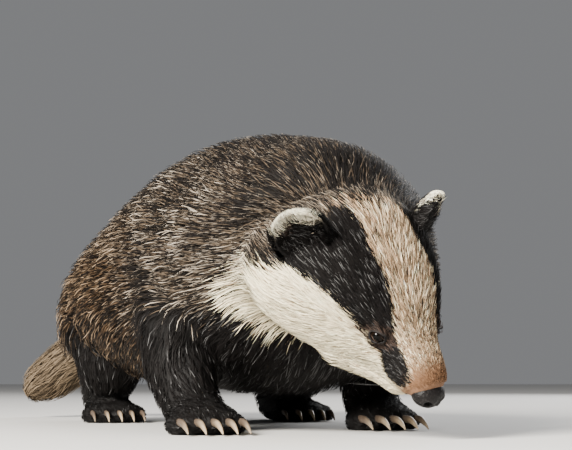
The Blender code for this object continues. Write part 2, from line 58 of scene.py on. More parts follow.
# Places on the head are in the head's own frame: x back from the nose tip is negative, y left, z up.
EYE_PLACE = Vector((-0.0500, 0.0240, 0.0078))
EYE_FACING = Vector((0.42, 0.84, 0.34))
EYE_UP = Vector((-0.35, 0, 1))
EYE_RADIUS = 0.0056
EAR_PLACE = Vector((-0.1200, 0.0590, 0.0265))
EAR_FACING = Vector((0.72, 0.66, 0.10))
EAR_RISE = Vector((-0.25, 0.52, 0.82))
EAR_SIZE = Vector((0.0100, 0.0180, 0.0186))
EAR_WALL = 0.0026
# The hollow's share of the cup's depth, how far the rim curls forward, how far the whole is set back,
# how deep the front of the rim is cut away, and how much longer the ear is below its middle.
EAR_HOLLOW = 0.45
EAR_CURL = 0.0030
EAR_SINK = 0.002
EAR_NOTCH = 0.0085
EAR_LOBE = 1.15
EAR_SIDES = 40
EAR_STEPS = 14
NOSE_PAD = Vector((0.0100, 0.0125, 0.0092))
NOSE_MIDDLE = Vector((-0.0080, 0.0, -0.0040))
NOSTRIL_PLACE = Vector((0.0068, 0.0058, 0.0000))

# A cross-section: its middle, then its half width, its reach up and down, and how square it is.
Section = namedtuple("Section", "x y z half_width above below squareness")
TORSO = [
    Section(-0.292, 0.000, 0.114, 0.020, 0.020, 0.020, 2.0),
    Section(-0.280, 0.000, 0.110, 0.066, 0.048, 0.046, 2.0),
    Section(-0.245, 0.000, 0.106, 0.108, 0.074, 0.058, 1.9),
    Section(-0.180, 0.000, 0.105, 0.131, 0.098, 0.074, 1.8),
    Section(-0.090, 0.000, 0.106, 0.137, 0.118, 0.080, 1.8),
    Section(0.000, 0.000, 0.110, 0.131, 0.128, 0.086, 2.0),
    Section(0.080, 0.000, 0.114, 0.123, 0.119, 0.088, 2.1),
    Section(0.140, -0.002, 0.120, 0.111, 0.104, 0.084, 2.2),
    Section(0.190, -0.008, 0.128, 0.086, 0.080, 0.072, 2.1),
]
HEAD = [
    Section(-0.0060, 0, -0.0010, 0.0100, 0.0090, 0.0090, 2.2),
    Section(-0.0120, 0, -0.0010, 0.0150, 0.0125, 0.0125, 2.3),
    Section(-0.0250, 0, -0.0015, 0.0195, 0.0170, 0.0155, 2.3),
    Section(-0.0400, 0, -0.0020, 0.0240, 0.0215, 0.0200, 2.2),
    Section(-0.0540, 0, -0.0025, 0.0330, 0.0285, 0.0290, 2.1),
    Section(-0.0750, 0, -0.0035, 0.0490, 0.0370, 0.0440, 2.1),
    Section(-0.0980, 0, -0.0050, 0.0620, 0.0435, 0.0550, 2.1),
    Section(-0.1200, 0, -0.0070, 0.0670, 0.0485, 0.0610, 2.1),
    Section(-0.1400, 0, -0.0100, 0.0650, 0.0500, 0.0610, 2.1),
    Section(-0.1560, 0, -0.0160, 0.0570, 0.0460, 0.0530, 2.0),
]
JAW = [
    Section(-0.0200, 0, -0.0195, 0.0050, 0.0040, 0.0040, 2.0),
    Section(-0.0240, 0, -0.0200, 0.0105, 0.0070, 0.0070, 2.0),
    Section(-0.0360, 0, -0.0225, 0.0155, 0.0080, 0.0090, 2.0),
    Section(-0.0520, 0, -0.0290, 0.0220, 0.0080, 0.0110, 2.0),
    Section(-0.0700, 0, -0.0380, 0.0280, 0.0080, 0.0110, 2.0),
    Section(-0.0860, 0, -0.0400, 0.0200, 0.0060, 0.0060, 2.0),
]

# A limb or tail is a row of joints: place, half width and half depth of the flesh round it.
Joint = namedtuple("Joint", "x y z half_width half_depth")
NECK = [
    Joint(0.090, -0.002, 0.130, 0.104, 0.098),
    Joint(0.150, -0.004, 0.136, 0.096, 0.088),
    Joint(0.195, -0.009, 0.139, 0.080, 0.074),
    Joint(0.229, -0.008, 0.132, 0.064, 0.058),
]
FORE_LEG = [
    Joint(0.122, 0.058, 0.150, 0.022, 0.034),
    Joint(0.116, 0.068, 0.122, 0.030, 0.042),
    Joint(0.094, 0.084, 0.085, 0.034, 0.042),
    Joint(0.094, 0.089, 0.055, 0.029, 0.034),
    Joint(0.114, 0.088, 0.028, 0.023, 0.025),
    Joint(0.134, 0.087, 0.015, 0.025, 0.018),
    Joint(0.156, 0.086, 0.0110, 0.028, 0.0135),
    Joint(0.169, 0.086, 0.0090, 0.025, 0.0105),
]
HIND_LEG = [
    Joint(-0.205, 0.052, 0.120, 0.030, 0.050),
    Joint(-0.195, 0.072, 0.100, 0.048, 0.068),
    Joint(-0.160, 0.088, 0.076, 0.040, 0.052),
    Joint(-0.166, 0.089, 0.052, 0.030, 0.036),
    Joint(-0.206, 0.084, 0.031, 0.023, 0.026),
    Joint(-0.214, 0.083, 0.016, 0.021, 0.019),
    Joint(-0.178, 0.085, 0.012, 0.024, 0.0150),
    Joint(-0.150, 0.087, 0.010, 0.026, 0.0125),
    Joint(-0.138, 0.087, 0.0090, 0.023, 0.0105),
]
TAIL = [
    Joint(-0.262, -0.006, 0.110, 0.022, 0.022),
    Joint(-0.296, -0.032, 0.098, 0.028, 0.028),
    Joint(-0.326, -0.072, 0.072, 0.030, 0.029),
    Joint(-0.346, -0.104, 0.047, 0.028, 0.027),
    Joint(-0.357, -0.126, 0.029, 0.020, 0.020),
    Joint(-0.363, -0.139, 0.016, 0.008, 0.008),
]
FORE_STEP = {LEFT: -0.050, RIGHT: 0.004}
FORE_STANCE = {LEFT: -0.018, RIGHT: 0.0}
HIND_STEP = {LEFT: 0.012, RIGHT: -0.004}
TOES = 5
TOE_RADIUS = 0.0068
TOE_LENGTH = 0.017
TOE_SPREAD = 0.0112
# How far the toes' row lies behind the last joint, how fast it bends back toward its ends, and how
# high and how tall the toes are in their radii.
PAW_BACK = 0.004
TOE_ARC = 0.0022
TOE_RISE = 0.95
TOE_HEIGHT = 1.25
# A claw's length and thickness.
FORE_CLAW = (0.024, 0.0030)
HIND_CLAW = (0.014, 0.0026)

# How far the skin lies inside the solids' outline, where the hair fills the rest.
TRUNK_COAT = 0.0135
TAIL_COAT = 0.0125
LEG_COAT = 0.0030
TOE_COAT = 0.0008
# The same on the head, at places back from the nose tip.
HEAD_COAT = ((-0.156, 0.0085), (-0.110, 0.0065), (-0.075, 0.0038), (-0.050, 0.0018), (-0.006, 0.0006))
# The tail's least half width, from which its coat is taken off.
DOCK_LEAST = 0.014
VOXEL = 0.0031
SOFTEN_ROUNDS = 5
RING_SIDES = 40
LIMB_SIDES = 24

SEED = 7
rng = np.random.default_rng(SEED)


# Where each region fades in, from none of it at the first value to all of it at the second. Places on
# the head are in its own frame, and those on the body are from its origin. The sides of the head, the
# crease, the tail and the legs count half sections or half widths off the middle line, and "tail root"
# and "paw" count shares of the limb.
FADES = {
    "head back": (-0.162, -0.138),
    "head side": (0.20, 0.0),
    "jaw room": (-0.100, -0.070),
    "off middle": (0.0, 0.008),
    "cheek low": (-0.018, -0.048),
    "cheek back": (-0.074, -0.100),
    "crease back": (-0.200, -0.165),
    "crease front": (-0.112, -0.135),
    "crease side": (1.9, 1.5),
    "tail side": (1.5, 1.0),
    "tail root": (0.04, 0.20),
    "leg side": (1.45, 1.1),
    "leg top": (0.105, 0.070),
    "paw": (0.25, 0.65),
    "forequarters": (-0.04, 0.10),
    "rump slope": (-0.12, -0.26),
    "low flank": (0.105, 0.050),
    "hindquarters": (0.060, -0.060),
    "under back": (0.210, 0.150),
    "belly height": (0.060, 0.035),
    "belly front": (0.10, 0.02),
    "neck": (0.09, 0.16),
    "crown": (-0.070, -0.125),
    "muzzle": (-0.060, -0.030),
    "under eyes": (0.008, -0.012),
    "cheek": (-0.062, -0.115),
    "face": (-0.085, -0.070),
    "back": (0.150, 0.225),
    "nape": (0.16, 0.22),
    "nape height": (0.125, 0.150),
    "fold height": (0.150, 0.115),
    "warm front": (0.095, 0.000),
    "warm height": (0.215, 0.120),
    "ruff back": (-0.168, -0.146),
    "ruff low": (-0.094, -0.084),
    "ruff high": (-0.030, -0.042),
    "ruff middle": (0.008, 0.018),
    "ruff left": (0.082, 0.064),
    "throat front": (-0.022, -0.030),
    "cheek streaks": (0.0, -0.03),
    "bare muzzle": (-0.027, -0.013),
    "bare height": (-0.018, -0.010),
    "blaze side": (0.034, 0.026),
    "blaze height": (-0.004, 0.004),
    "muzzle side": (0.030, 0.022),
    "nose end": (-0.055, -0.025),
    "right side": (0.004, -0.004),
}
# How far off its middle line the head's hair reaches, in half sections, and how much further at the jaw.
HEAD_EDGE = 1.12
JAW_ROOM = 0.30
CREASE_ROUNDS = 60


def head_frame():
    """The head's own frame: forward, left and up, from the nose tip."""
    turn = (
        Matrix.Rotation(math.radians(HEAD_YAW), 4, "Z")
        @ Matrix.Rotation(math.radians(HEAD_PITCH), 4, "Y")
        @ Matrix.Rotation(math.radians(HEAD_ROLL), 4, "X")
    )
    return Matrix.Translation(NOSE_TIP + ORIGIN) @ turn


HEAD_MATRIX = head_frame()
HEAD_AXES = np.array(HEAD_MATRIX.to_3x3())
HEAD_TIP = np.array(HEAD_MATRIX.translation)


def to_head(points):
    return (points - HEAD_TIP) @ HEAD_AXES


def from_head(points):
    return points @ HEAD_AXES.T + HEAD_TIP


def smoothstep(low, high, values):
    share = np.clip((values - low) / (high - low), 0.0, 1.0)
    return share * share * (3 - 2 * share)


def fade(name, values):
    """The share of a named region at each value, read between its two ends in FADES."""
    return smoothstep(*FADES[name], values)


def read(table, at):
    """A named curve of (place, value) pairs, read at many places."""
    places, values = np.array(sorted(table)).T
    return np.interp(at, places, values)


def unit(vectors):
    return vectors / np.maximum(np.linalg.norm(vectors, axis=-1, keepdims=True), 1e-12)


def toward(colour, other, share):
    """A colour or a row of them, mixed with another by the share at each place."""
    return colour + (other - colour) * share[:, None]


# Mesh helpers.


def spline(values, at):
    """A Catmull-Rom curve through a list of tuples, read at a station number with a fraction."""
    last = len(values) - 1
    i = min(int(at), last - 1)
    t = at - i
    before, start = values[max(i - 1, 0)], values[i]
    end, after = values[i + 1], values[min(i + 2, last)]
    found = []
    for a, b, c, d in zip(before, start, end, after):
        bend = (2 * a - 5 * b + 4 * c - d) * t**2 + (3 * b - a - 3 * c + d) * t**3
        found.append(0.5 * (2 * b + (c - a) * t + bend))
    return found


def smoothed(values, steps):
    """The curve through a list of sections or joints, with a number of steps between each two."""
    kind = type(values[0])
    count = (len(values) - 1) * steps
    return [kind(*spline(values, i / steps)) for i in range(count + 1)]


def rounded(angle, squareness):
    """A point of a superellipse of half size 1."""
    power = 2.0 / squareness
    cos, sin = math.cos(angle), math.sin(angle)
    return math.copysign(abs(cos) ** power, cos), math.copysign(abs(sin) ** power, sin)


def section_rings(sections, steps=4, sides=RING_SIDES):
    """Rings across the x axis, each one section wide."""
    rings = []
    for s in smoothed(sections, steps):
        ring = []
        for i in range(sides):
            across, rise = rounded(2 * math.pi * i / sides, s.squareness)
            reach = s.above if rise > 0 else s.below
            ring.append(Vector((s.x, s.y + across * s.half_width, s.z + rise * reach)))
        rings.append(ring)
    return rings


def shrunk(section, by):
    return section._replace(
        half_width=section.half_width - by, above=section.above - by, below=section.below - by
    )


def limb_rings(joints, steps=4, sides=LIMB_SIDES, grow=0.0):
    """Rings across a limb's own direction, so that a bend keeps its thickness."""
    path = smoothed(joints, steps)
    places = [Vector((j.x, j.y, j.z)) for j in path]
    rings = []
    for i, joint in enumerate(path):
        along = (places[min(i + 1, len(path) - 1)] - places[max(i - 1, 0)]).normalized()
        side = Vector((0, 1, 0))
        side = (side - along * side.dot(along)).normalized()
        deep = along.cross(side)
        ring = []
        for k in range(sides):
            angle = 2 * math.pi * k / sides
            wide = side * math.cos(angle) * (joint.half_width + grow)
            thick = deep * math.sin(angle) * (joint.half_depth + grow)
            ring.append(places[i] + wide + thick)
        rings.append(ring)
    return rings


def linked(obj):
    bpy.context.scene.collection.objects.link(obj)
    return obj


def add_loft(mesh, rings, matrix):
    """Adds a closed skin through a list of rings to a bmesh."""
    rows = [[mesh.verts.new(matrix @ point) for point in ring] for ring in rings]
    sides = len(rings[0])
    for first, second in zip(rows, rows[1:]):
        for i in range(sides):
            j = (i + 1) % sides
            mesh.faces.new((first[i], first[j], second[j], second[i]))
    mesh.faces.new(rows[0][::-1])
    mesh.faces.new(rows[-1])


def add_ellipsoid(mesh, matrix, size, segments=16):
    bmesh.ops.create_uvsphere(
        mesh,
        u_segments=segments,
        v_segments=segments // 2,
        radius=1.0,
        matrix=matrix @ Matrix.Diagonal((*size, 1.0)),
    )


def made(name, mesh):
    """A new object from a bmesh, which is then freed."""
    bmesh.ops.recalc_face_normals(mesh, faces=mesh.faces)
    data = bpy.data.meshes.new(name)
    mesh.to_mesh(data)
    mesh.free()
    data.shade_smooth()
    return linked(bpy.data.objects.new(name, data))


def applied(obj):
    """Makes the object's mesh what its modifiers show, and drops them."""
    bpy.context.view_layer.update()
    graph = bpy.context.evaluated_depsgraph_get()
    data = bpy.data.meshes.new_from_object(obj.evaluated_get(graph))
    obj.modifiers.clear()
    obj.data = data
    return obj


def facing(place, out, up):
    """A frame at a place: x points out, z points as near up as it can."""
    x = out.normalized()
    y = up.cross(x).normalized()
    z = x.cross(y)
    turn = Matrix((x, y, z)).transposed().to_4x4()
    return Matrix.Translation(place) @ turn


def on_side(vector, side):
    """A place or direction of the left side, on the side asked for."""
    return Vector((vector.x, vector.y * side, vector.z))


def stepped(joints, side, step, stance=0.0):
    """A left limb's joints on the side asked for, moved forward and outward more and more to the foot."""
    top = joints[0].z
    moved = []
    for j in joints:
        share = 1 - j.z / top
        moved.append(j._replace(x=j.x + step * share, y=(j.y + stance * share) * side))
    return moved


def limbs():
    """Each limb's name and joints."""
    found = {}
    for side, word in SIDES:
        found[f"fore_leg_{word}"] = stepped(FORE_LEG, side, FORE_STEP[side], FORE_STANCE[side])
        found[f"hind_leg_{word}"] = stepped(HIND_LEG, side, HIND_STEP[side])
    return found


def paw_tip(joints):
    return Vector((joints[-1].x - PAW_BACK, joints[-1].y, joints[-1].z))


def toe_places(tip):
    """The middles of a paw's toes, spread in an arc at its front."""
    places = []
    for i in range(TOES):
        off = i - (TOES - 1) / 2
        back = TOE_ARC * off * off
        places.append(Vector((tip.x - back, tip.y + off * TOE_SPREAD, TOE_RADIUS * TOE_RISE)))
    return places


def stored(items, name, width, kind=np.float32):
    """A value of each of a mesh's items, as rows of numbers."""
    found = np.empty(len(items) * width, kind)
    items.foreach_get(name, found)
    return found.reshape(-1, width)


def coords(data):
    return stored(data.vertices, "co", 3).astype(np.float64)


def set_coords(data, points):
    data.vertices.foreach_set("co", points.astype(np.float32).ravel())
    data.update()


def vertex_normals(data):
    return stored(data.vertex_normals, "vector", 3).astype(np.float64)


def nearest_of(points):
    """A function that finds the number of the point nearest to each of its places."""
    tree = KDTree(len(points))
    for i, point in enumerate(points):
        tree.insert(point, i)
    tree.balance()
    return lambda places: np.array([tree.find(place)[1] for place in places])


def set_tint(data, colours):
    """Stores one colour at each vertex."""
    layer = data.color_attributes.new("Tint", "FLOAT_COLOR", "POINT")
    rgba = np.ones((len(colours), 4), np.float32)
    rgba[:, :3] = colours
    layer.data.foreach_set("color", rgba.ravel())


# Skin.


def flesh():
    """The whole body in one closed skin."""
    mesh = bmesh.new()
    body = Matrix.Translation(ORIGIN)
    add_loft(mesh, section_rings([shrunk(s, TRUNK_COAT) for s in TORSO]), body)
    head = [shrunk(s, float(read(HEAD_COAT, s.x))) for s in smoothed(HEAD, 3)]
    add_loft(mesh, section_rings(head, 1), HEAD_MATRIX)
    add_loft(mesh, section_rings(JAW, 3, 20), HEAD_MATRIX)
    add_loft(mesh, limb_rings(NECK, 4, RING_SIDES, -TRUNK_COAT), body)
    dock = [j._replace(half_width=max(j.half_width, DOCK_LEAST), half_depth=max(j.half_depth, DOCK_LEAST))
            for j in TAIL[:-1]]
    add_loft(mesh, limb_rings(dock, grow=-TAIL_COAT), body)
    for joints in limbs().values():
        add_loft(mesh, limb_rings(joints, grow=-LEG_COAT), body)
        for place in toe_places(paw_tip(joints)):
            size = (TOE_LENGTH, TOE_RADIUS - TOE_COAT, TOE_RADIUS * TOE_HEIGHT - TOE_COAT)
            add_ellipsoid(mesh, body @ Matrix.Translation(place), size)
    skin = made("skin", mesh)
    remesh = skin.modifiers.new("fuse", "REMESH")
    remesh.mode = "VOXEL"
    remesh.voxel_size = VOXEL
    soften = skin.modifiers.new("soften", "SMOOTH")
    soften.iterations = SOFTEN_ROUNDS
    return applied(skin)


# The face is cut finer than the rest, so that it can carry the lids, lips and folds.
FINE_FROM = (-0.082, -0.060)
FINE_BELOW = 0.05
FACE_FROM = -0.10
GROUND_CLEAR = 0.0006

# The eye's opening: half its length and half its height, and how thick the lid over the eyeball is.
OPENING = (0.0052, 0.0031)
LID = 0.0011
# In half openings: how far the lids' change reaches, where it is whole, and the opening's edge. Then how
# far behind the eye's middle the lids start, how far inside the eyeball the opening's floor is, and the
# share of that which it keeps.
LID_REACH = 2.1
LID_WHOLE = 1.25
OPENING_EDGE = (1.03, 0.90)
LID_BACK = 0.004
FLOOR_DEPTH = 0.0016
FLOOR_SHARE = 0.6
# How far behind the eye's middle the lids still count as near it, and the reach of what is behind that.
EYE_BACK = 0.006
FAR = 9.0
# The line of the mouth, back from under the nose: x, distance to the side, z.
MOUTH = np.array([
    (-0.0140, 0.0000, -0.0140),
    (-0.0175, 0.0060, -0.0160),
    (-0.0240, 0.0115, -0.0165),
    (-0.0360, 0.0165, -0.0190),
    (-0.0520, 0.0225, -0.0250),
    (-0.0640, 0.0270, -0.0320),
])
MOUTH_DEPTH = 0.0022
MOUTH_WIDTH = 0.0012
# The lips: how far they stand out, and how far off the mouth's line they lie and spread.
LIP_HEIGHT = 0.0008
LIP_PLACE = 0.0032
LIP_WIDTH = 0.0018


def relaxed(skin, weight, rounds):
    """Smooths a mesh more where the weight is larger."""
    points = coords(skin.data)
    first, second = stored(skin.data.edges, "vertices", 2, np.int32).T
    count = np.bincount(first, minlength=len(points)) + np.bincount(second, minlength=len(points))
    for _ in range(rounds):
        total = np.zeros_like(points)
        for axis in range(3):
            total[:, axis] = (np.bincount(first, points[second, axis], len(points))
                              + np.bincount(second, points[first, axis], len(points)))
        points += (total / count[:, None] - points) * weight[:, None]
    set_coords(skin.data, points)


def blend_neck(skin):
    """Fills the crease between the head and the neck."""
    local = to_head(coords(skin.data))
    near = fade("crease back", local[:, 0]) * fade("crease front", local[:, 0])
    relaxed(skin, near * fade("crease side", head_reach(local)) * 0.6, CREASE_ROUNDS)


def refine_face(skin):
    """Cuts the faces at the front of the head smaller, in two rounds."""
    for start in FINE_FROM:
        mesh = bmesh.new()
        mesh.from_mesh(skin.data)
        inverse = HEAD_MATRIX.inverted()
        middles = [inverse @ f.calc_center_median() for f in mesh.faces]
        chosen = [f for f, m in zip(mesh.faces, middles) if m.x > start and m.z < FINE_BELOW]
        edges = list({e for f in chosen for e in f.edges})
        bmesh.ops.subdivide_edges(mesh, edges=edges, cuts=1, use_grid_fill=True)
        inner = [v for v in mesh.verts if (inverse @ v.co).x > start]
        for _ in range(3):
            bmesh.ops.smooth_vert(mesh, verts=inner, factor=0.5, use_axis_x=True,
                                  use_axis_y=True, use_axis_z=True)
        mesh.to_mesh(skin.data)
        mesh.free()
    skin.data.shade_smooth()


def eye_frame(side):
    return facing(on_side(EYE_PLACE, side), on_side(EYE_FACING, side), EYE_UP)


def in_frame(points, turn):
    """Points in the axes of a frame."""
    return (points - np.array(turn.translation)) @ np.array(turn.to_3x3())


def open_eye(points, side):
    """Shapes the lids round one eyeball. The points are in the head's frame."""
    turn = eye_frame(side)
    local = in_frame(points, turn)
    out, along, rise = local.T
    reach = np.hypot(along / OPENING[0], rise / OPENING[1])
    near = (reach < LID_REACH) & (out > -LID_BACK)
    flat = along**2 + rise**2
    over = np.sqrt(np.maximum((EYE_RADIUS + LID) ** 2 - flat, 1e-7))
    # The opening's floor is behind the eyeball's surface.
    under = np.sqrt(np.maximum((EYE_RADIUS - FLOOR_DEPTH) ** 2 - flat, 1e-7)) * FLOOR_SHARE
    wanted = over + (under - over) * smoothstep(*OPENING_EDGE, reach)
    held = smoothstep(LID_REACH, LID_WHOLE, reach)
    new = local.copy()
    new[:, 0] = np.where(near, out + (wanted - out) * held, out)
    return new @ np.array(turn.to_3x3()).T + np.array(turn.translation)


def eye_reach(local, side):
    """How far places in the head's frame are from an eye's middle, in half openings."""
    out, along, rise = in_frame(local, eye_frame(side)).T
    return np.where(out > -EYE_BACK, np.hypot(along / OPENING[0], rise / OPENING[1]), FAR)


def off_stretch(points, start, end):
    """How far along a straight stretch each point is, as a share, and how far off it."""
    way = end - start
    share = np.clip((points - start) @ way / (way @ way), 0, 1)
    return share, np.linalg.norm(points - start - share[:, None] * way, axis=1)


def mouth_gap(points):
    """The distance of each point from the mouth's line, on either side."""
    lines = MOUTH, MOUTH * np.array([1.0, -1.0, 1.0])
    gaps = [off_stretch(points, *ends)[1] for line in lines for ends in zip(line, line[1:])]
    return np.min(gaps, axis=0)


def shape_face(skin):
    """Presses the mouth's line, the lids and the lip's groove into the face."""
    points = coords(skin.data)
    normals = vertex_normals(skin.data)
    local = to_head(points)
    face = local[:, 0] > FACE_FROM
    gap = mouth_gap(local[face])
    depth = MOUTH_DEPTH * np.exp(-((gap / MOUTH_WIDTH) ** 2))
    points[face] -= normals[face] * depth[:, None]
    # Full lips stand out beside the mouth's line.
    lip = LIP_HEIGHT * np.exp(-(((gap - LIP_PLACE) / LIP_WIDTH) ** 2))
    points[face] += normals[face] * lip[:, None]
    local = to_head(points)
    for side, _ in SIDES:
        local[face] = open_eye(local[face], side)
    points = from_head(local)
    points[:, 2] = np.maximum(points[:, 2], GROUND_CLEAR)
    set_coords(skin.data, points)


# Where things are: shares of the head, the legs and the tail at many places.


# How far the hair drops, lifts or spreads out for each length that it runs back.
CHEEK_DROP = 0.30
JAW_DROP = 0.50
HEAD_OUT = 0.26
TRUNK_DROP = 0.20
RUMP_DROP = 0.50
FORE_LIFT = 0.18
LOW_DROP = 0.40


def polyline(joints):
    path = smoothed(joints, 3)
    places = np.array([(j.x, j.y, j.z) for j in path]) + np.array(ORIGIN)
    sizes = np.array([max(j.half_width, j.half_depth) for j in path])
    return places, sizes


def along_limb(points, joints):
    """How far off a limb's middle line each point is, in its half widths, and the line's way there."""
    places, sizes = polyline(joints)
    best = np.full(len(points), 1e9)
    way = np.zeros_like(points)
    share_at = np.zeros(len(points))
    for i, (start, end) in enumerate(zip(places, places[1:])):
        share, gap = off_stretch(points, start, end)
        ratio = gap / (sizes[i] + (sizes[i + 1] - sizes[i]) * share)
        closer = ratio < best
        best[closer] = ratio[closer]
        way[closer] = (end - start) / np.linalg.norm(end - start)
        share_at[closer] = (i + share[closer]) / (len(places) - 1)
    return best, way, share_at


def head_reach(local):
    """How far off the head's middle line each point is, in half sections."""
    x = local[:, 0]
    table = {key: [(s.x, getattr(s, key)) for s in HEAD] for key in ("z", "half_width", "above", "below")}
    width, middle = read(table["half_width"], x), read(table["z"], x)
    rise = local[:, 2] - middle
    jaw = middle - read([(j.x, j.z - j.below - 0.002) for j in JAW], x)
    jaw = np.where((x > JAW[-1].x) & (x < JAW[0].x), jaw, 0.0)
    tall = np.where(rise > 0, read(table["above"], x), np.maximum(read(table["below"], x), jaw))
    return np.hypot(local[:, 1] / width, rise / tall)


def areas(points):
    """The share of each region at each point, and the hair's way there."""
    local = to_head(points)
    x, y, z = local.T
    edge = HEAD_EDGE + JAW_ROOM * fade("jaw room", x)
    head = fade("head back", x) * fade("head side", head_reach(local) - edge)
    tail_gap, tail_way, tail_at = along_limb(points, TAIL)
    tail = fade("tail side", tail_gap) * fade("tail root", tail_at)
    legs = np.zeros(len(points))
    low = np.zeros(len(points))
    leg_way = np.zeros_like(points)
    for joints in limbs().values():
        gap, way, at = along_limb(points, joints[2:])
        share = fade("leg side", gap) * fade("leg top", points[:, 2])
        stronger = share > legs
        legs[stronger] = share[stronger]
        leg_way[stronger] = way[stronger]
        low[stronger] = at[stronger]
    # The hair hangs more steeply from the back of the jaw.
    hang = fade("cheek low", z) * fade("cheek back", x)
    head_down = np.where(z < 0, -CHEEK_DROP, 0.0) - JAW_DROP * hang
    head_out = np.sign(y) * HEAD_OUT * fade("off middle", np.abs(y))
    head_way = unit(np.stack([-np.ones(len(points)), head_out, head_down], 1)) @ HEAD_AXES.T
    body = points - np.array(ORIGIN)
    rump, fore = fade("rump slope", body[:, 0]), fade("forequarters", body[:, 0])
    low_side = fade("low flank", body[:, 2])
    down = -TRUNK_DROP - RUMP_DROP * rump + FORE_LIFT * fore - LOW_DROP * low_side * (1 - 0.8 * fore)
    trunk_way = unit(np.stack([-np.ones(len(points)), np.zeros(len(points)), down], 1))
    legs *= 1 - head
    tail *= 1 - head
    rest = np.clip(1 - head - legs - tail, 0, 1)
    way = (head_way * head[:, None] + tail_way * tail[:, None]
           + leg_way * legs[:, None] + trunk_way * rest[:, None])
    return dict(local=local, body=body, head=head, tail=tail, legs=legs, low=low, rest=rest, way=way)


# Markings, in the head's frame, the same on both sides but for the blaze's lean. Pairs of distance back
# from the nose, and the stripe's border to the white blaze (distance to the side) or to the white cheek
# (height).
STRIPE_INNER = ((-0.170, 0.0200), (-0.134, 0.0200), (-0.126, 0.0190), (-0.112, 0.0184), (-0.100, 0.0202),
                (-0.084, 0.0202), (-0.065, 0.0190), (-0.045, 0.0179), (-0.028, 0.0159), (-0.015, 0.0152),
                (-0.008, 0.0200))
# How much further left the blaze's borders lie, and how much more so on its left.
BLAZE_LEAN = ((-0.170, 0.0040), (-0.125, 0.0045), (-0.100, 0.0038), (-0.079, 0.0052), (-0.062, 0.0028),
              (-0.048, 0.0005), (-0.020, 0.0))
LEFT_LEAN = 2.2
STRIPE_LOWER = ((-0.150, -0.0120), (-0.128, -0.0090), (-0.119, -0.0005), (-0.109, 0.0075), (-0.095, 0.0108),
                (-0.082, 0.0122), (-0.070, 0.0102), (-0.057, 0.0060), (-0.047, 0.0020), (-0.041, 0.0005),
                (-0.032, -0.0090), (-0.022, -0.0140))
STRIPE_END = -0.128
STRIPE_STOP = (STRIPE_END - 0.010, STRIPE_END - 0.006)
# The throat is black below this height, and the white ends in grey hair behind these places.
THROAT = ((-0.160, -0.0880), (-0.128, -0.0820), (-0.110, -0.0700), (-0.098, -0.0590), (-0.086, -0.0500),
          (-0.070, -0.0455), (-0.052, -0.0380), (-0.036, -0.0295), (-0.024, -0.0250))
CHEEK_END = ((-0.090, -0.154), (-0.075, -0.152), (-0.045, -0.143), (-0.030, -0.136), (-0.007, -0.126),
             (0.010, -0.124))
# The belly's black reaches up to this height at each place along the trunk.
DARK_EDGE = ((-0.30, 0.040), (-0.16, 0.048), (-0.05, 0.052), (0.03, 0.066), (0.08, 0.088), (0.20, 0.094),
             (0.26, 0.090))
BLAZE_END = -0.136
BLAZE_HALF = 0.029
BLACK = np.array((0.0036, 0.0031, 0.0030))
WHITE = np.array((0.91, 0.790, 0.545))
EAR_WHITE = np.array((0.94, 0.830, 0.640))
CREAM = np.array((0.66, 0.505, 0.335))
TAN = np.array((0.34, 0.225, 0.135))
PINK = np.array((0.170, 0.088, 0.047))
BROWN = np.array((0.050, 0.034, 0.027))
LID_SKIN = np.array((0.006, 0.005, 0.005))
BODY_SKIN = np.array((0.030, 0.023, 0.018))
TAIL_SKIN = np.array((0.30, 0.25, 0.18))
# Where brown folds lie round the eye, and the lids' bare rim, in half openings.
EYE_FOLDS = (3.2, 2.0)
LID_RIM = (1.5, 1.15)
# How wide the mouth's line is painted, and how far off it hair grows.
MOUTH_PAINT = 0.0010
MOUTH_CLEAR = 0.0011
# No hair grows nearer to the eye, in half openings, or to the ground.
LID_CLEAR = 1.22
SOLE_CLEAR = 0.0016


def face_marks(local, soft):
    """The shares of black, of the body's grey and of bare pinkish skin at places on the head."""
    x, z = local[:, 0], local[:, 2]
    off = np.abs(local[:, 1])
    lean = read(BLAZE_LEAN, x) * np.where(local[:, 1] > 0, LEFT_LEAN, -1.0)
    inner = smoothstep(-soft, soft, off - read(STRIPE_INNER, x) - lean)
    above = smoothstep(-soft, soft, z - read(STRIPE_LOWER, x))
    stripe = inner * above * smoothstep(*STRIPE_STOP, x)
    throat = smoothstep(soft, -soft, z - read(THROAT, x)) * fade("throat front", x)
    black = np.maximum(stripe, throat)
    blaze = smoothstep(BLAZE_HALF + soft * 2, BLAZE_HALF - soft * 2, off) * (z > 0)
    end = np.where(z > 0.004, STRIPE_END, read(CHEEK_END, z))
    end = end + (BLAZE_END - end) * blaze
    # The border to the grey is streaky, most of all at the blaze's end.
    streak = 0.003 + 0.004 * fade("cheek streaks", z) + 0.009 * blaze
    grey = smoothstep(streak, -streak, x - end)
    pink = fade("bare muzzle", x) * fade("bare height", z) * (1 - throat)
    return black, grey, pink


def ruff(local):
    """The share of the cheeks' white on the sides of the neck, just behind the head."""
    x, y, z = local.T
    # The head turns to the left, so less of that side is seen behind it.
    back = np.where(y > 0, 0.012, 0.0)
    share = fade("ruff back", x - back) * fade("ruff low", z) * fade("ruff high", z)
    share = share * fade("ruff middle", np.abs(y - 0.010)) * fade("ruff left", y)
    return share * (x < -0.10)


def body_dark(body):
    """The share of black at places on the trunk and neck, which fades up the flank."""
    x, z = body[:, 0], body[:, 2]
    return smoothstep(0.013, -0.013, z - read(DARK_EDGE, x))


def wander(points, scale, seed):
    """A soft wavy field between about -1 and 1, from a few crossing waves."""
    draw = np.random.default_rng(seed)
    total = np.zeros(len(points))
    for _ in range(5):
        way = unit(draw.normal(size=3)) * draw.uniform(0.7, 1.5) / scale
        total += np.sin(points @ way * 2 * math.pi + draw.uniform(0, 6.28))
    return total / 3.0


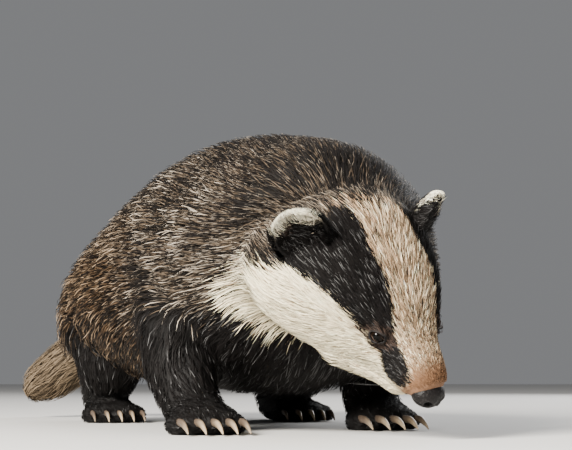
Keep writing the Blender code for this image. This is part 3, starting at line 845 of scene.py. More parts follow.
def area_shares(found):
    """The shares of the head, legs, tail and trunk at each place, one in all."""
    shares = np.stack([found[area] for area in ("head", "legs", "tail", "rest")], 1)
    return shares / shares.sum(1, keepdims=True)


def skin_colours(points, found):
    """The colour of the skin and the short hair on it."""
    local = found["local"]
    black, grey, pink = face_marks(local, 0.0012)
    white = WHITE * (0.86 + 0.10 * wander(points, 0.006, 3))[:, None]
    face = toward(white, BLACK, black)
    face = toward(face, PINK, pink * (1 - black * 0.7))
    gap = mouth_gap(local)
    face = face * (1 - 0.92 * np.exp(-((gap / MOUTH_PAINT) ** 2)))[:, None]
    for side, _ in SIDES:
        reach = eye_reach(local, side)
        face = toward(face, BROWN, 0.45 * black * smoothstep(*EYE_FOLDS, reach))
        face = toward(face, LID_SKIN, smoothstep(*LID_RIM, reach))
    face = toward(face, BODY_SKIN, grey)
    trunk = toward(BODY_SKIN, BLACK, body_dark(found["body"]))
    trunk = toward(trunk, WHITE * 0.6, ruff(local))
    parts = np.stack([face, BLACK * np.ones_like(face), TAIL_SKIN * np.ones_like(face), trunk])
    return (parts * area_shares(found).T[:, :, None]).sum(0)


# Hair.

Hair = namedtuple("Hair", "length width depth clump")
KINDS = {
    "trunk": Hair(0.038, 0.00078, 0.0135, 0.22),
    "rump": Hair(0.045, 0.00092, 0.0165, 0.46),
    "belly": Hair(0.026, 0.00110, 0.0085, 0.30),
    "neck": Hair(0.028, 0.00064, 0.0105, 0.16),
    "crown": Hair(0.0135, 0.00056, 0.0064, 0.20),
    "brow": Hair(0.0105, 0.00052, 0.0054, 0.16),
    "muzzle": Hair(0.0050, 0.00038, 0.0014, 0.10),
    "cheek": Hair(0.030, 0.00066, 0.0112, 0.28),
    "leg": Hair(0.015, 0.00080, 0.0042, 0.30),
    "paw": Hair(0.0070, 0.00050, 0.0016, 0.20),
    "tail": Hair(0.044, 0.00100, 0.0125, 0.50),
}
EAR_HAIR = Hair(0.0074, 0.00038, 0.0024, 0.25)
# How much longer the hair in the ear's hollow is, and how much shorter its rim's.
EAR_FRINGE = 0.0036
RIM_TRIM = 0.0008
# How many hairs cover each place on each part.
BODY_LAYERS = 2.75
TAIL_LAYERS = 4.5
HEAD_LAYERS = 3.5
FACE_LAYERS = 2.5
LEG_LAYERS = 0.9
EAR_LAYERS = 3.3
# The darkest and lightest values of a hair's colour.
TINTS = (0.002, 0.95)
# How deep a hair's root is in the skin, how fast the hair rises and how fast it is drawn to its lock's
# leading hair along its length, and how many hairs a lock holds on average.
ROOT_DEPTH = 0.0012
RISE_CURVE = 1.7
PULL_CURVE = 1.4
LOCK_HAIRS = 14
# How far a hair rolls about its own line, how thick it is for its width, and the stretch of a sine
# that its width follows: where it starts and how far it goes, in half turns.
HAIR_ROLL = 0.45
HAIR_FLATNESS = 0.8
HAIR_SHAPE = (0.22, 0.72)
# The shares of the skin's normal, of the hair's own and of its side in its shading.
SKIN_SHADE = 0.55
HAIR_SHADE = 0.75
SIDE_SHADE = 0.55
# A hair's patch on the bake map: half its width, its length and the notch at its root.
PATCH_HALF = 0.0014
PATCH_LENGTH = 0.003
PATCH_NOTCH = 0.0004
# The spread of the hairs' length, depth and width.
LENGTH_SPREAD = (0.72, 1.18)
DEPTH_SPREAD = (0.45, 1.10)
WIDTH_SPREAD = (0.75, 1.25)
# A hair's longest step, and the least that its first step goes its way, as shares of its length.
LONGEST_STEP = 0.85
LEAST_WAY = 0.12


def hair_sizes(found):
    """The hair's length, width, depth and clumping at many places, mixed from the kinds."""
    local, body = found["local"], found["body"]
    x, z = local[:, 0], local[:, 2]
    back, front = fade("crown", x), fade("muzzle", x)
    low = fade("under eyes", z) * fade("cheek", x)
    belly = fade("belly height", body[:, 2]) * fade("belly front", body[:, 0])
    neck = fade("neck", body[:, 0])
    rump = fade("hindquarters", body[:, 0]) * fade("under back", body[:, 2])
    lower = fade("paw", found["low"])
    head, legs, tail, rest = (found[k] for k in ("head", "legs", "tail", "rest"))
    shares = {
        "muzzle": head * front,
        "cheek": head * (1 - front) * low,
        "crown": head * (1 - front) * (1 - low) * back,
        "brow": head * (1 - front) * (1 - low) * (1 - back),
        "leg": legs * (1 - lower),
        "paw": legs * lower,
        "tail": tail,
        "belly": rest * belly,
        "neck": rest * (1 - belly) * neck,
        "rump": rest * (1 - belly) * (1 - neck) * rump,
        "trunk": rest * (1 - belly) * (1 - neck) * (1 - rump),
    }
    total = sum(shares.values())
    return [sum(shares[k] * getattr(KINDS[k], field) for k in KINDS) / total for field in Hair._fields]


def triangles_of(data):
    data.calc_loop_triangles()
    return [stored(data.loop_triangles, name, 3, np.int32) for name in ("vertices", "loops")]


def unwrapped(obj):
    """Gives a mesh a flat map of its own shape, and returns it."""
    for other in bpy.context.selected_objects:
        other.select_set(False)
    bpy.context.view_layer.objects.active = obj
    obj.select_set(True)
    obj.data.uv_layers.new(name="OFBake")
    bpy.ops.object.mode_set(mode="EDIT")
    bpy.ops.mesh.select_all(action="SELECT")
    bpy.ops.uv.smart_project(angle_limit=math.radians(66), island_margin=0.002)
    bpy.ops.object.mode_set(mode="OBJECT")
    return stored(obj.data.uv_layers["OFBake"].uv, "vector", 2).astype(np.float64)


class Surface:
    """A mesh's points, normals, hair directions and map, for hair to grow from and to lie on."""

    def __init__(self, obj, way, sizes):
        self.points = coords(obj.data)
        self.normals = vertex_normals(obj.data)
        self.triangles, self.loops = triangles_of(obj.data)
        self.map = unwrapped(obj)
        tangent = way - self.normals * (way * self.normals).sum(1, keepdims=True)
        self.way = unit(tangent)
        self.sizes = sizes
        self.nearest = nearest_of(self.points)

    def roots(self, layers, keep):
        """Draws roots over the surface, denser where the hair is short and thin."""
        corners = self.points[self.triangles]
        sides = corners[:, 1] - corners[:, 0], corners[:, 2] - corners[:, 0]
        area = np.linalg.norm(np.cross(*sides), axis=1) / 2
        length, width = (self.sizes[i][self.triangles].mean(1) for i in (0, 1))
        wanted = area / (0.5 * length * width) * layers * keep[self.triangles].mean(1)
        count = int(wanted.sum())
        chosen = rng.choice(len(area), count, p=wanted / wanted.sum())
        share = rng.random((count, 2))
        flip = share.sum(1) > 1
        share[flip] = 1 - share[flip]
        parts = np.stack([1 - share.sum(1), share[:, 0], share[:, 1]], 1)
        place = (corners[chosen] * parts[:, :, None]).sum(1)
        uv = (self.map[self.loops[chosen]] * parts[:, :, None]).sum(1)
        nearest = self.triangles[chosen, parts.argmax(1)]
        return place, uv, nearest


def hair_paths(surface, place, nearest, length, depth, clump, stations, sway):
    """The middle line of each hair: it rises from the skin and lies along the surface."""
    count = len(place)
    turn = rng.normal(0, sway, count)
    base, at = place.copy(), nearest.copy()
    lines = [place - surface.normals[at] * ROOT_DEPTH]
    last = 0.0
    under = None
    for station in stations[1:]:
        step = (length * (station - last))[:, None]
        last = station
        normal, way = surface.normals[at], surface.way[at]
        side = np.cross(normal, way)
        base = base + (way * np.cos(turn)[:, None] + side * np.sin(turn)[:, None]) * step
        at = surface.nearest(base)
        under = at if under is None else under
        normal = surface.normals[at]
        base = base - normal * ((base - surface.points[at]) * normal).sum(1, keepdims=True)
        rise = depth * (1 - (1 - station) ** RISE_CURVE)
        lines.append(base + normal * rise[:, None])
    lines = np.stack(lines, 1)
    heads = rng.choice(count, max(count // LOCK_HAIRS, 1), replace=False)
    mine = heads[nearest_of(place[heads])(place)]
    pull = np.array([s**PULL_CURVE for s in stations])[None, :] * clump[:, None]
    lines = lines + (lines[mine] - lines) * pull[:, :, None]
    return lines, mine, surface.normals[nearest], under


def build_hairs(name, lines, normals, width, colours, uv, stations):
    """Thin tapered three-sided hairs, each closed, as one mesh."""
    count, rows = len(lines), len(stations)
    along = unit(np.gradient(lines, axis=1))
    side = unit(np.cross(along, normals[:, None, :]))
    up = unit(np.cross(side, along))
    roll = rng.normal(0, HAIR_ROLL, count)[:, None, None]
    side, up = side * np.cos(roll) + up * np.sin(roll), up * np.cos(roll) - side * np.sin(roll)
    start, go = HAIR_SHAPE
    shape = np.array([max(math.sin(math.pi * (start + go * s)), 0.0) for s in stations[:-1]])
    half = width[:, None, None] * 0.5 * shape[None, :, None]
    rings = np.stack([
        lines[:, :-1] - side[:, :-1] * half,
        lines[:, :-1] + up[:, :-1] * half * HAIR_FLATNESS,
        lines[:, :-1] + side[:, :-1] * half,
    ], 2)
    per = (rows - 1) * 3 + 1
    verts = np.concatenate([rings.reshape(count, -1, 3), lines[:, -1:]], 1).reshape(-1, 3)
    faces = [(0, 2, 1)]
    for r in range(rows - 2):
        for i in range(3):
            j = (i + 1) % 3
            a, b, c, d = r * 3 + i, r * 3 + j, (r + 1) * 3 + j, (r + 1) * 3 + i
            faces += [(a, b, c), (a, c, d)]
    top = (rows - 2) * 3
    faces += [(top, top + 1, per - 1), (top + 1, top + 2, per - 1), (top + 2, top, per - 1)]
    faces = np.array(faces)
    triangles = (np.arange(count)[:, None, None] * per + faces[None]).reshape(-1, 3)
    tint = np.repeat(colours[:, :-1], 3, axis=1)
    tint = np.concatenate([tint, colours[:, -1:]], 1).reshape(-1, 3)
    # Each hair's patch on the bake map.
    across = np.tile(np.array([-PATCH_HALF, 0.0, PATCH_HALF]), rows - 1)
    run = np.repeat(np.array(stations[:-1]) - 0.5, 3) * PATCH_LENGTH
    run[1] -= PATCH_NOTCH
    patch = np.stack([np.append(across, 0.0), np.append(run, PATCH_LENGTH / 2)], 1)
    vertex_uv = (uv[:, None, :] + patch[None]).reshape(-1, 2)
    # The shading's normals lie between the skin's and the hair's own, and lean out at its two sides.
    soft = normals[:, None, :] * SKIN_SHADE + up * HAIR_SHADE
    soft = np.repeat(soft[:, :-1], 3, axis=1)
    lean = np.tile(np.array([-SIDE_SHADE, 0.0, SIDE_SHADE]), rows - 1)[None, :, None]
    lean_way = np.repeat(side[:, :-1], 3, axis=1) * lean
    soft = unit(np.concatenate([soft + lean_way, (normals + up[:, -1])[:, None, :]], 1)).reshape(-1, 3)
    data = bpy.data.meshes.new(name)
    data.vertices.add(len(verts))
    data.vertices.foreach_set("co", verts.astype(np.float32).ravel())
    data.loops.add(len(triangles) * 3)
    data.loops.foreach_set("vertex_index", triangles.astype(np.int32).ravel())
    data.polygons.add(len(triangles))
    data.polygons.foreach_set("loop_start", np.arange(0, len(triangles) * 3, 3, dtype=np.int32))
    data.update(calc_edges=True)
    layer = data.uv_layers.new(name="OFBake")
    layer.uv.foreach_set("vector", vertex_uv[triangles.ravel()].astype(np.float32).ravel())
    set_tint(data, tint)
    data.shade_smooth()
    data.normals_split_custom_set_from_vertices(soft.astype(np.float32))
    return linked(bpy.data.objects.new(name, data))


LONG_STATIONS = (0.0, 0.48, 0.77, 1.0)
SHORT_STATIONS = (0.0, 0.55, 1.0)
# The body's hairs: almost white, banded and dark, each from its root to its tip. Their darker roots are
# painted shade deep in the coat.
PALE_HAIR = ((0.018, 0.014, 0.011), (0.055, 0.042, 0.031), (0.330, 0.280, 0.225), (0.680, 0.610, 0.515))
BAND_HAIR = ((0.018, 0.014, 0.011), (0.095, 0.070, 0.048), (0.008, 0.007, 0.006), (0.360, 0.305, 0.245))
DARK_HAIR = ((0.010, 0.008, 0.007), (0.007, 0.006, 0.005), (0.005, 0.004, 0.004), (0.020, 0.017, 0.014))
DARK_SHARE = 0.50
BAND_SHARE = 0.38
# How the body's colours change on the rump and the rear of the flank, where the coat is browner.
WARM = np.array((0.68, 0.555, 0.430))
# The tail's own buff, made darker by painted shade.
TAIL_BUFF_AND_SHADE = np.array((0.14, 0.103, 0.066))


def grizzled(place, body, stations, tone, lock):
    """The body's salt and pepper: each hair's colour at each station."""
    count = len(place)
    tables = [np.array(t) for t in (PALE_HAIR, BAND_HAIR, DARK_HAIR)]
    at = np.array(LONG_STATIONS)
    kinds = np.stack([[np.interp(stations, at, t[:, c]) for c in range(3)] for t in tables])
    kinds = kinds.transpose(0, 2, 1)
    nape = fade("nape height", place[:, 2]) * fade("nape", body[:, 0])
    dark = DARK_SHARE + 0.22 * fade("back", place[:, 2]) + 0.22 * nape
    dark = dark + 0.12 * wander(place, 0.050, 21) + 0.08 * lock
    # Darker hair in the crease behind the shoulder: painted shade.
    crease = body[:, 0] - 0.088 + 0.33 * (body[:, 2] - 0.122)
    fold_shade = np.exp(-((crease / 0.013) ** 2)) * fade("fold height", body[:, 2])
    dark = np.clip(dark + 0.42 * fold_shade, 0.05, 0.88)
    draw = rng.random(count)
    kind = np.where(draw < dark, 2, np.where(draw < dark + BAND_SHARE, 1, 0))
    warm = fade("warm front", body[:, 0]) * fade("warm height", body[:, 2])
    warm = np.clip(warm + 0.15 * wander(place, 0.040, 22), 0, 1)[:, None, None]
    colour = kinds[kind] * (1 + (WARM - 1) * warm)
    return colour * tone * (1 + 0.10 * lock)[:, None, None]


def chance(share):
    """Draws, for each hair, whether it is one of the share given for it."""
    return (rng.random(len(share)) < share)[:, None, None]


def hair_colours(place, found, stations, jitter, lock):
    """Each hair's colour at each station, from the markings under its middle."""
    count = len(place)
    s = np.array(stations)[None, :, None]
    true_local = to_head(place)
    local = true_local + rng.normal(0, 1, (count, 3)) * jitter[:, None]
    black, grey, pink = face_marks(local, 0.0008)
    tone = np.clip(rng.normal(1, 0.15, count), 0.55, 1.45)[:, None, None]
    # The blaze is creamy with tan hairs, the cheeks nearly white.
    x, y, z = local.T
    blaze = fade("blaze side", np.abs(y)) * fade("blaze height", z)
    blaze = np.clip(blaze * (fade("muzzle side", np.abs(y)) + (x < -0.05)), 0, 1)
    # More tan hairs on the blaze's right half: painted shade on that side.
    nose_end, painted_shade_side = fade("nose end", x), fade("right side", y)
    tan = chance(0.04 + (0.40 + 0.20 * painted_shade_side + 0.25 * nose_end) * blaze)
    fair = np.where(tan, TAN, toward(WHITE, CREAM, blaze)[:, None, :])
    fair = np.where(chance(0.20 * blaze), BROWN, fair)
    # Its hairs are darker at the root and lighter at the tip than the cheeks'. On both, the darker roots are
    # painted shade between the hairs and the lighter tips painted light.
    mixed = blaze[:, None, None]
    root, tip = 0.55 - 0.38 * mixed, 1.12 + 0.36 * mixed
    fair = fair * (root + (tip - root) * s) * tone ** (1 + 1.5 * mixed)
    # Darker hairs in the parted line down the blaze: painted shade.
    parting_shade = (np.abs(true_local[:, 1] - 0.0012) < 0.0011) & (np.abs(true_local[:, 0] + 0.092) < 0.020)
    fair = fair * np.where(parting_shade, 0.35, 1.0)[:, None, None]
    # The black hairs lighten from root to tip as a painted sheen, and a few get pale tips, partly pale guard
    # hairs and partly painted glints.
    dark = BLACK * (0.8 + 1.4 * s) * tone
    dark = np.where(chance(0.09 - 0.04 * found["legs"]), dark + 0.16 * s**3, dark)
    is_black = chance(black)
    face = np.where(is_black, dark, fair)
    # Brown hairs on the folds round the eye.
    folds = np.minimum(eye_reach(true_local, LEFT), eye_reach(true_local, RIGHT))
    round_eye = chance(0.55 * smoothstep(*EYE_FOLDS, folds))
    face = np.where(round_eye & is_black, BROWN * (0.5 + s) * tone, face)
    bare = np.clip(pink * 0.95, 0, 1)[:, None, None]
    face = face + (PINK * 1.1 - face) * bare * ~is_black
    body = found["body"]
    under = chance(body_dark(body))
    trunk = np.where(under, dark, grizzled(place, body, stations, tone, lock))
    face = np.where(chance(grey), trunk, face)
    trunk = np.where(chance(ruff(local)), fair, trunk)
    # The tail's hairs are darker toward the root: painted shade.
    tail = TAIL_BUFF_AND_SHADE * (0.35 + 0.85 * s) * tone
    tail = np.where(chance(np.full(count, 0.25)), tail * 0.35, tail)
    shares = np.cumsum(area_shares(found), axis=1)
    draw = rng.random(count)[:, None]
    kind = np.minimum((draw > shares).sum(1), 3)
    stack = np.stack(np.broadcast_arrays(face, dark, tail, trunk), 0)
    return np.clip(stack[kind, np.arange(count)], *TINTS)


MOST_TRIANGLES = 190000


def grow_coat(surface, found, layers, keep, stations, names, axis, sway):
    """Hair over the kept share of a surface, in pieces of about the same size, in order along one axis."""
    place, uv, nearest = surface.roots(layers, keep)
    rank = np.argsort(place[:, axis], kind="stable")
    place, uv, nearest = place[rank], uv[rank], nearest[rank]
    count = len(place)
    length, width, depth, clump = (size[nearest] for size in surface.sizes)
    length = length * rng.uniform(*LENGTH_SPREAD, count)
    depth = depth * rng.uniform(*DEPTH_SPREAD, count)
    width = width * rng.uniform(*WIDTH_SPREAD, count)
    lines, mine, normals, under = hair_paths(surface, place, nearest, length, depth, clump,
                                             stations, sway)
    lines[:, :, 2] = np.maximum(lines[:, :, 2], GROUND_CLEAR)
    lock = np.clip(rng.normal(0, 1, count)[mine] * 0.6 + wander(place, 0.03, 11) * 0.5, -1.5, 1.5)
    jitter = np.clip(length * 0.05, 0.0004, 0.0016)
    found = {key: value[under] for key, value in found.items()}
    colours = hair_colours(lines[:, 1], found, stations, jitter, lock)
    # A hair that would reach over to another part of the surface, or turn back, is left out.
    whole = np.linalg.norm(np.diff(lines, axis=1), axis=2).max(1) < LONGEST_STEP * length
    whole &= ((lines[:, 1] - lines[:, 0]) * surface.way[nearest]).sum(1) > LEAST_WAY * length
    whole &= ((lines[:, -1] - lines[:, 1]) * surface.way[nearest]).sum(1) > 0.0
    lines, normals, width, colours, uv = (a[whole] for a in (lines, normals, width, colours, uv))
    count = int(whole.sum())
    bounds = [round(count * i / len(names)) for i in range(len(names) + 1)]
    pieces = []
    for name, start, end in zip(names, bounds, bounds[1:]):
        part = slice(start, end)
        piece = build_hairs(name, lines[part], normals[part], width[part], colours[part], uv[part], stations)
        assert len(piece.data.polygons) < MOST_TRIANGLES, name
        pieces.append(piece)
    return pieces


# Materials.


# The coat's colour is mottled by a noise of this scale, between these shares.
MOTTLE = 900.0
MOTTLE_RANGE = (0.82, 1.18)


def set_inputs(node, **values):
    """Sets a node's inputs, named with an underscore for each space."""
    for name, value in values.items():
        node.inputs[name.replace("_", " ")].default_value = value
    return node


def add_node(tree, kind, **values):
    return set_inputs(tree.nodes.new(f"ShaderNode{kind}"), **values)


def finish(name, **values):
    """A new material, its nodes and its shader, with the shader's values set."""
    found = bpy.data.materials.new(name)
    found.use_nodes = True
    return found, found.node_tree, set_inputs(found.node_tree.nodes["Principled BSDF"], **values)


def tinted(name, roughness, specular, bump=None):
    """A finish that takes its colour from the vertices, mottled by a fine noise."""
    found, tree, shader = finish(name, Roughness=roughness, Specular_IOR_Level=specular)
    link = tree.links.new
    tint = add_node(tree, "Attribute")
    tint.attribute_name = "Tint"
    place = add_node(tree, "TexCoord")
    noise = add_node(tree, "TexNoise", Scale=MOTTLE, Detail=3.0)
    link(place.outputs["Object"], noise.inputs["Vector"])
    spread = add_node(tree, "MapRange", To_Min=MOTTLE_RANGE[0], To_Max=MOTTLE_RANGE[1])
    link(noise.outputs["Fac"], spread.inputs["Value"])
    mix = add_node(tree, "Mix", Factor=1.0)
    mix.data_type = "RGBA"
    mix.blend_type = "MULTIPLY"
    link(tint.outputs["Color"], mix.inputs["A"])
    link(spread.outputs["Result"], mix.inputs["B"])
    link(mix.outputs["Result"], shader.inputs["Base Color"])
    if bump:
        scale, strength, distance = bump
        grain = add_node(tree, "TexNoise", Scale=scale, Detail=4.0)
        link(place.outputs["Object"], grain.inputs["Vector"])
        raised = add_node(tree, "Bump", Strength=strength, Distance=distance)
        link(grain.outputs["Fac"], raised.inputs["Height"])
        link(raised.outputs["Normal"], shader.inputs["Normal"])
    return found


# Roughness and specular level, then the grain's scale, strength and height.
FUR = tinted("hair", 0.62, 0.07)
SKIN = tinted("short_hair_and_skin", 0.75, 0.25, (700.0, 0.5, 0.0006))
NOSE = tinted("nose_leather", 0.40, 0.16, (620.0, 0.9, 0.0008))
EYE = tinted("eyeball", 0.05, 0.10)
HORN = tinted("claw_horn", 0.36, 0.45, (500.0, 0.25, 0.0003))


def dress(obj, look, slot, *nodes):
    """Gives a piece its finish and its place in the frame."""
    obj.data.materials.clear()
    obj.data.materials.append(look)
    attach(obj, "root")
    if nodes:
        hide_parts(*nodes)


# Separate pieces: eyes, nose, ears, claws and whiskers.


# How far off the eye's middle its iris starts and ends, and the colours of it and of the ball.
IRIS_INNER = (0.0022, 0.0027)
IRIS_OUTER = (0.0047, 0.0042)
BALL_TINT = np.array((0.0010, 0.0009, 0.0008))
IRIS_GAIN = np.array((0.004, 0.002, 0.001))
CORNEA = 0.00035
# The nostrils' depth, the groove's, and how far the rim round each nostril stands out.
NOSTRIL_DEPTH = 0.0048
GROOVE_DEPTH = 0.0009
RIM_HEIGHT = 0.0005
# The pad's own colour, and the painted highlight added on its rims and top.
PAD_TINT = np.array((0.0042, 0.0036, 0.0036))
PAD_HIGHLIGHT = np.array((0.0070, 0.0062, 0.0062))
# A claw's shape at shares of its length: its rise over the root, and shares of its width and depth.
CLAW_SHAPE = ((0.35, 0.0015, 0.68, 0.9), (0.75, -0.0016, 0.45, 0.6))
# Its root, from the toe's middle, how far it goes on inside the toe, and its tip: how far down it is
# and its half width and half depth.
CLAW_ROOT = Vector((TOE_LENGTH - 0.003, 0, 0.0005))
CLAW_SUNK = 0.006
CLAW_DROP = 0.0052
CLAW_TIP = (0.0004, 0.0005)
CLAW_ROOT_TINT = np.array((0.085, 0.062, 0.045))
CLAW_TIP_GAIN = np.array((0.36, 0.28, 0.18))
# The whiskers on each side, where on the head they start, how long they are, and how far a 3 cm one
# bends back and down.
WHISKERS = 8
WHISKER_X = (-0.034, -0.014)
WHISKER_Y = 0.019
WHISKER_Z = (-0.011, 0.000)
WHISKER_LENGTH = (0.018, 0.034)
WHISKER_DROOP = np.array((-0.012, 0, -0.008))
WHISKER_STATIONS = (0.0, 0.33, 0.66, 1.0)
WHISKER_WIDTH = 0.00036
WHISKER_TINT = 0.03


def sphere(name, matrix, radius, around, rows):
    """A ball with its poles along its matrix's x axis."""
    mesh = bmesh.new()
    bmesh.ops.create_uvsphere(mesh, u_segments=around, v_segments=rows, radius=radius,
                              matrix=matrix @ Matrix.Rotation(math.radians(90), 4, "Y"))
    return made(name, mesh)


def eyeball(side, word):
    turn = HEAD_MATRIX @ eye_frame(side)
    ball = sphere(f"eyeball_{word}", turn, EYE_RADIUS, 40, 28)
    points = coords(ball.data)
    out, along, rise = in_frame(points, turn).T
    off = np.hypot(along, rise)
    iris = smoothstep(*IRIS_INNER, off) * smoothstep(*IRIS_OUTER, off)
    # The cornea bulges a little.
    bulge = CORNEA * smoothstep(0.0040, 0.0, off) * (out > 0)
    set_coords(ball.data, points + np.array(turn.to_3x3())[:, 0] * bulge[:, None])
    set_tint(ball.data, BALL_TINT + IRIS_GAIN * iris[:, None])
    dress(ball, EYE, "eye", f"eye_{word}")


def nose_pad():
    """The bare pad, with two comma-shaped nostrils and a groove between them."""
    pad = sphere("nose_pad", Matrix.Identity(4), 1.0, 120, 80)
    ball = coords(pad.data)
    size = np.array(NOSE_PAD) - 0.0003
    points = ball * size
    x, y, z = points.T
    off = np.abs(y)
    front = smoothstep(0.0, 0.004, x)
    place = np.array(NOSTRIL_PLACE)
    # A round hole, and a slit that runs out and a little down from it.
    hole = np.hypot((off - place[1]) / 0.0026, (z - place[2] - 0.0006) / 0.0021)
    slit = np.hypot((off - place[1] - 0.0032) / 0.0034, (z + 0.0016 + (off - 0.009) * 0.25) / 0.0009)
    pit = np.maximum(smoothstep(1.15, 0.55, hole), smoothstep(1.3, 0.5, slit) * 0.6) * front
    groove = np.exp(-((y / 0.0007) ** 2)) * front * smoothstep(0.004, -0.001, z)
    rim = np.exp(-(((hole - 1.45) / 0.35) ** 2)) * front
    sunk = pit * NOSTRIL_DEPTH + groove * GROOVE_DEPTH - rim * RIM_HEIGHT
    points = points - unit(ball / size) * sunk[:, None]
    # Painted highlight on the rims round the nostrils and on the pad's top, and painted shade in the
    # nostrils and the groove.
    shade = PAD_TINT + PAD_HIGHLIGHT * (rim * 0.8 + 0.4 * smoothstep(0.0, 0.007, z))[:, None]
    shade = shade * (1 - 0.85 * pit - 0.5 * groove * (1 - pit))[:, None]
    set_coords(pad.data, from_head(points + np.array(NOSE_MIDDLE)))
    set_tint(pad.data, np.clip(shade, 0.002, 1))
    dress(pad, NOSE, "nose_skin", "nose")


def ear_rings(side):
    """Rings from the middle of an ear's back out to its rim, and in again down its hollow."""
    angles = [math.pi / 2 * i / EAR_STEPS for i in range(1, EAR_STEPS + 1)]
    profile = [(angle, EAR_SIZE.x, 1.0, 1.0) for angle in angles]
    profile += [(angle, EAR_SIZE.x - EAR_WALL, EAR_HOLLOW, 1.0 - EAR_WALL / EAR_SIZE.y)
                for angle in angles[::-1]]
    rings = []
    for angle, deep, share, reach in profile:
        spread = math.sin(angle)
        ring = []
        for k in range(EAR_SIDES):
            across, rise = math.cos(2 * math.pi * k / EAR_SIDES), math.sin(2 * math.pi * k / EAR_SIDES)
            front = max(across * -side, 0.0)
            depth = -math.cos(angle) * deep * share
            depth += EAR_CURL * across**2 * spread**3 - EAR_SINK - EAR_NOTCH * front**2 * spread
            ring.append(Vector((
                depth,
                EAR_SIZE.y * reach * spread * across,
                EAR_SIZE.z * reach * spread * rise * (1.0 if rise > 0 else EAR_LOBE),
            )))
        rings.append(ring)
    return rings


def ear(side, word):
    """A thin rounded cup, open to the front and the side, and its short hair."""
    turn = HEAD_MATRIX @ facing(*(on_side(v, side) for v in (EAR_PLACE, EAR_FACING, EAR_RISE)))
    mesh = bmesh.new()
    add_loft(mesh, ear_rings(side), turn)
    cup = made(f"ear_{word}_skin", mesh)
    points, local = coords(cup.data), in_frame(coords(cup.data), turn)
    reach = np.hypot(local[:, 1] / EAR_SIZE.y, local[:, 2] / EAR_SIZE.z)
    out, left, up = np.array(turn.to_3x3()).T
    inside = vertex_normals(cup.data) @ out > 0.25
    # The rim is white along its top and back, and black at the front.
    front = local[:, 1] * -side / EAR_SIZE.y
    rim = smoothstep(0.46, 0.66, reach) * smoothstep(-0.001, 0.005, local[:, 2])
    rim = rim * smoothstep(0.80, 0.50, front)
    set_tint(cup.data, toward(np.where(inside[:, None], BLACK * 1.4, BLACK), EAR_WHITE * 0.9, rim))
    away = points - np.array(turn.translation)
    outward = unit(away - (away @ out)[:, None] * out)
    way = outward * 0.8 + up * 0.5
    way = np.where(inside[:, None], up * 0.9 - left * -side * 0.7, way * 0.8 + out * 0.3)
    deep = inside * (1 - rim)
    sizes = [np.full(len(points), size) for size in EAR_HAIR]
    sizes[0] = EAR_HAIR.length - RIM_TRIM * rim + EAR_FRINGE * deep
    sizes[2] = EAR_HAIR.depth + EAR_FRINGE * deep
    surface = Surface(cup, way, sizes)
    place, uv, nearest = surface.roots(EAR_LAYERS, reach < 1.3)
    count = len(place)
    length = sizes[0][nearest] * rng.uniform(0.7, 1.2, count)
    depth = sizes[2][nearest] * rng.uniform(0.5, 1.2, count)
    lines, _, normals, _ = hair_paths(surface, place, nearest, length, depth, sizes[3][nearest],
                                      SHORT_STATIONS, 0.25)
    s = np.array(SHORT_STATIONS)[None, :, None]
    tone = rng.normal(1, 0.10, count)[:, None, None]
    white = chance(rim[nearest] * 0.98)
    # A few brown hairs lie in the hollow, where the ear's canal starts.
    spot = inside & (front < -0.10) & (front > -0.75) & (local[:, 2] > -0.002) & (local[:, 2] < 0.008)
    brown = spot[nearest][:, None, None] & chance(np.full(count, 0.6))
    # The ear's hairs are lighter at the tip than at the root, a painted sheen, and a few get pale tips,
    # partly pale hairs and partly painted glints.
    colours = np.where(brown, BROWN * (0.8 + 0.8 * s), BLACK * (1.0 + 1.2 * s))
    colours = np.where(chance(np.full(count, 0.12)), colours + 0.14 * s**3, colours)
    colours = np.where(white, EAR_WHITE * (0.98 + 0.12 * s), colours) * tone
    hair = build_hairs(f"coat_ear_{word}", lines, normals, np.full(count, EAR_HAIR.width),
                       np.clip(colours, *TINTS), uv, SHORT_STATIONS)
    dress(cup, SKIN, "white_fur", f"ear_{word}")
    dress(hair, FUR, "white_fur")


def claws(name, joints, length, thick):
    """A foot's five long curved claws."""
    mesh = bmesh.new()
    body = Matrix.Translation(ORIGIN)
    for place in toe_places(paw_tip(joints)):
        root = place + CLAW_ROOT
        path = [Joint(root.x - CLAW_SUNK, root.y, root.z + CLAW_SUNK / 3, thick * 0.75, thick)]
        path += [Joint(root.x + length * share, root.y, root.z + rise, thick * wide, thick * deep)
                 for share, rise, wide, deep in CLAW_SHAPE]
        path.append(Joint(root.x + length, root.y, root.z - CLAW_DROP, *CLAW_TIP))
        add_loft(mesh, limb_rings(path, 6, 14), body)
    piece = made(f"claws_{name}", mesh)
    points = coords(piece.data)
    tip = paw_tip(joints).x + ORIGIN.x + TOE_LENGTH
    share = smoothstep(tip - 0.004, tip + length, points[:, 0])
    colour = CLAW_ROOT_TINT + CLAW_TIP_GAIN * share[:, None]
    set_tint(piece.data, colour * (1 + 0.15 * wander(points, 0.004, 5))[:, None])
    dress(piece, HORN, "claw", *(f"claw_{name}_{i + 1}" for i in range(TOES)))


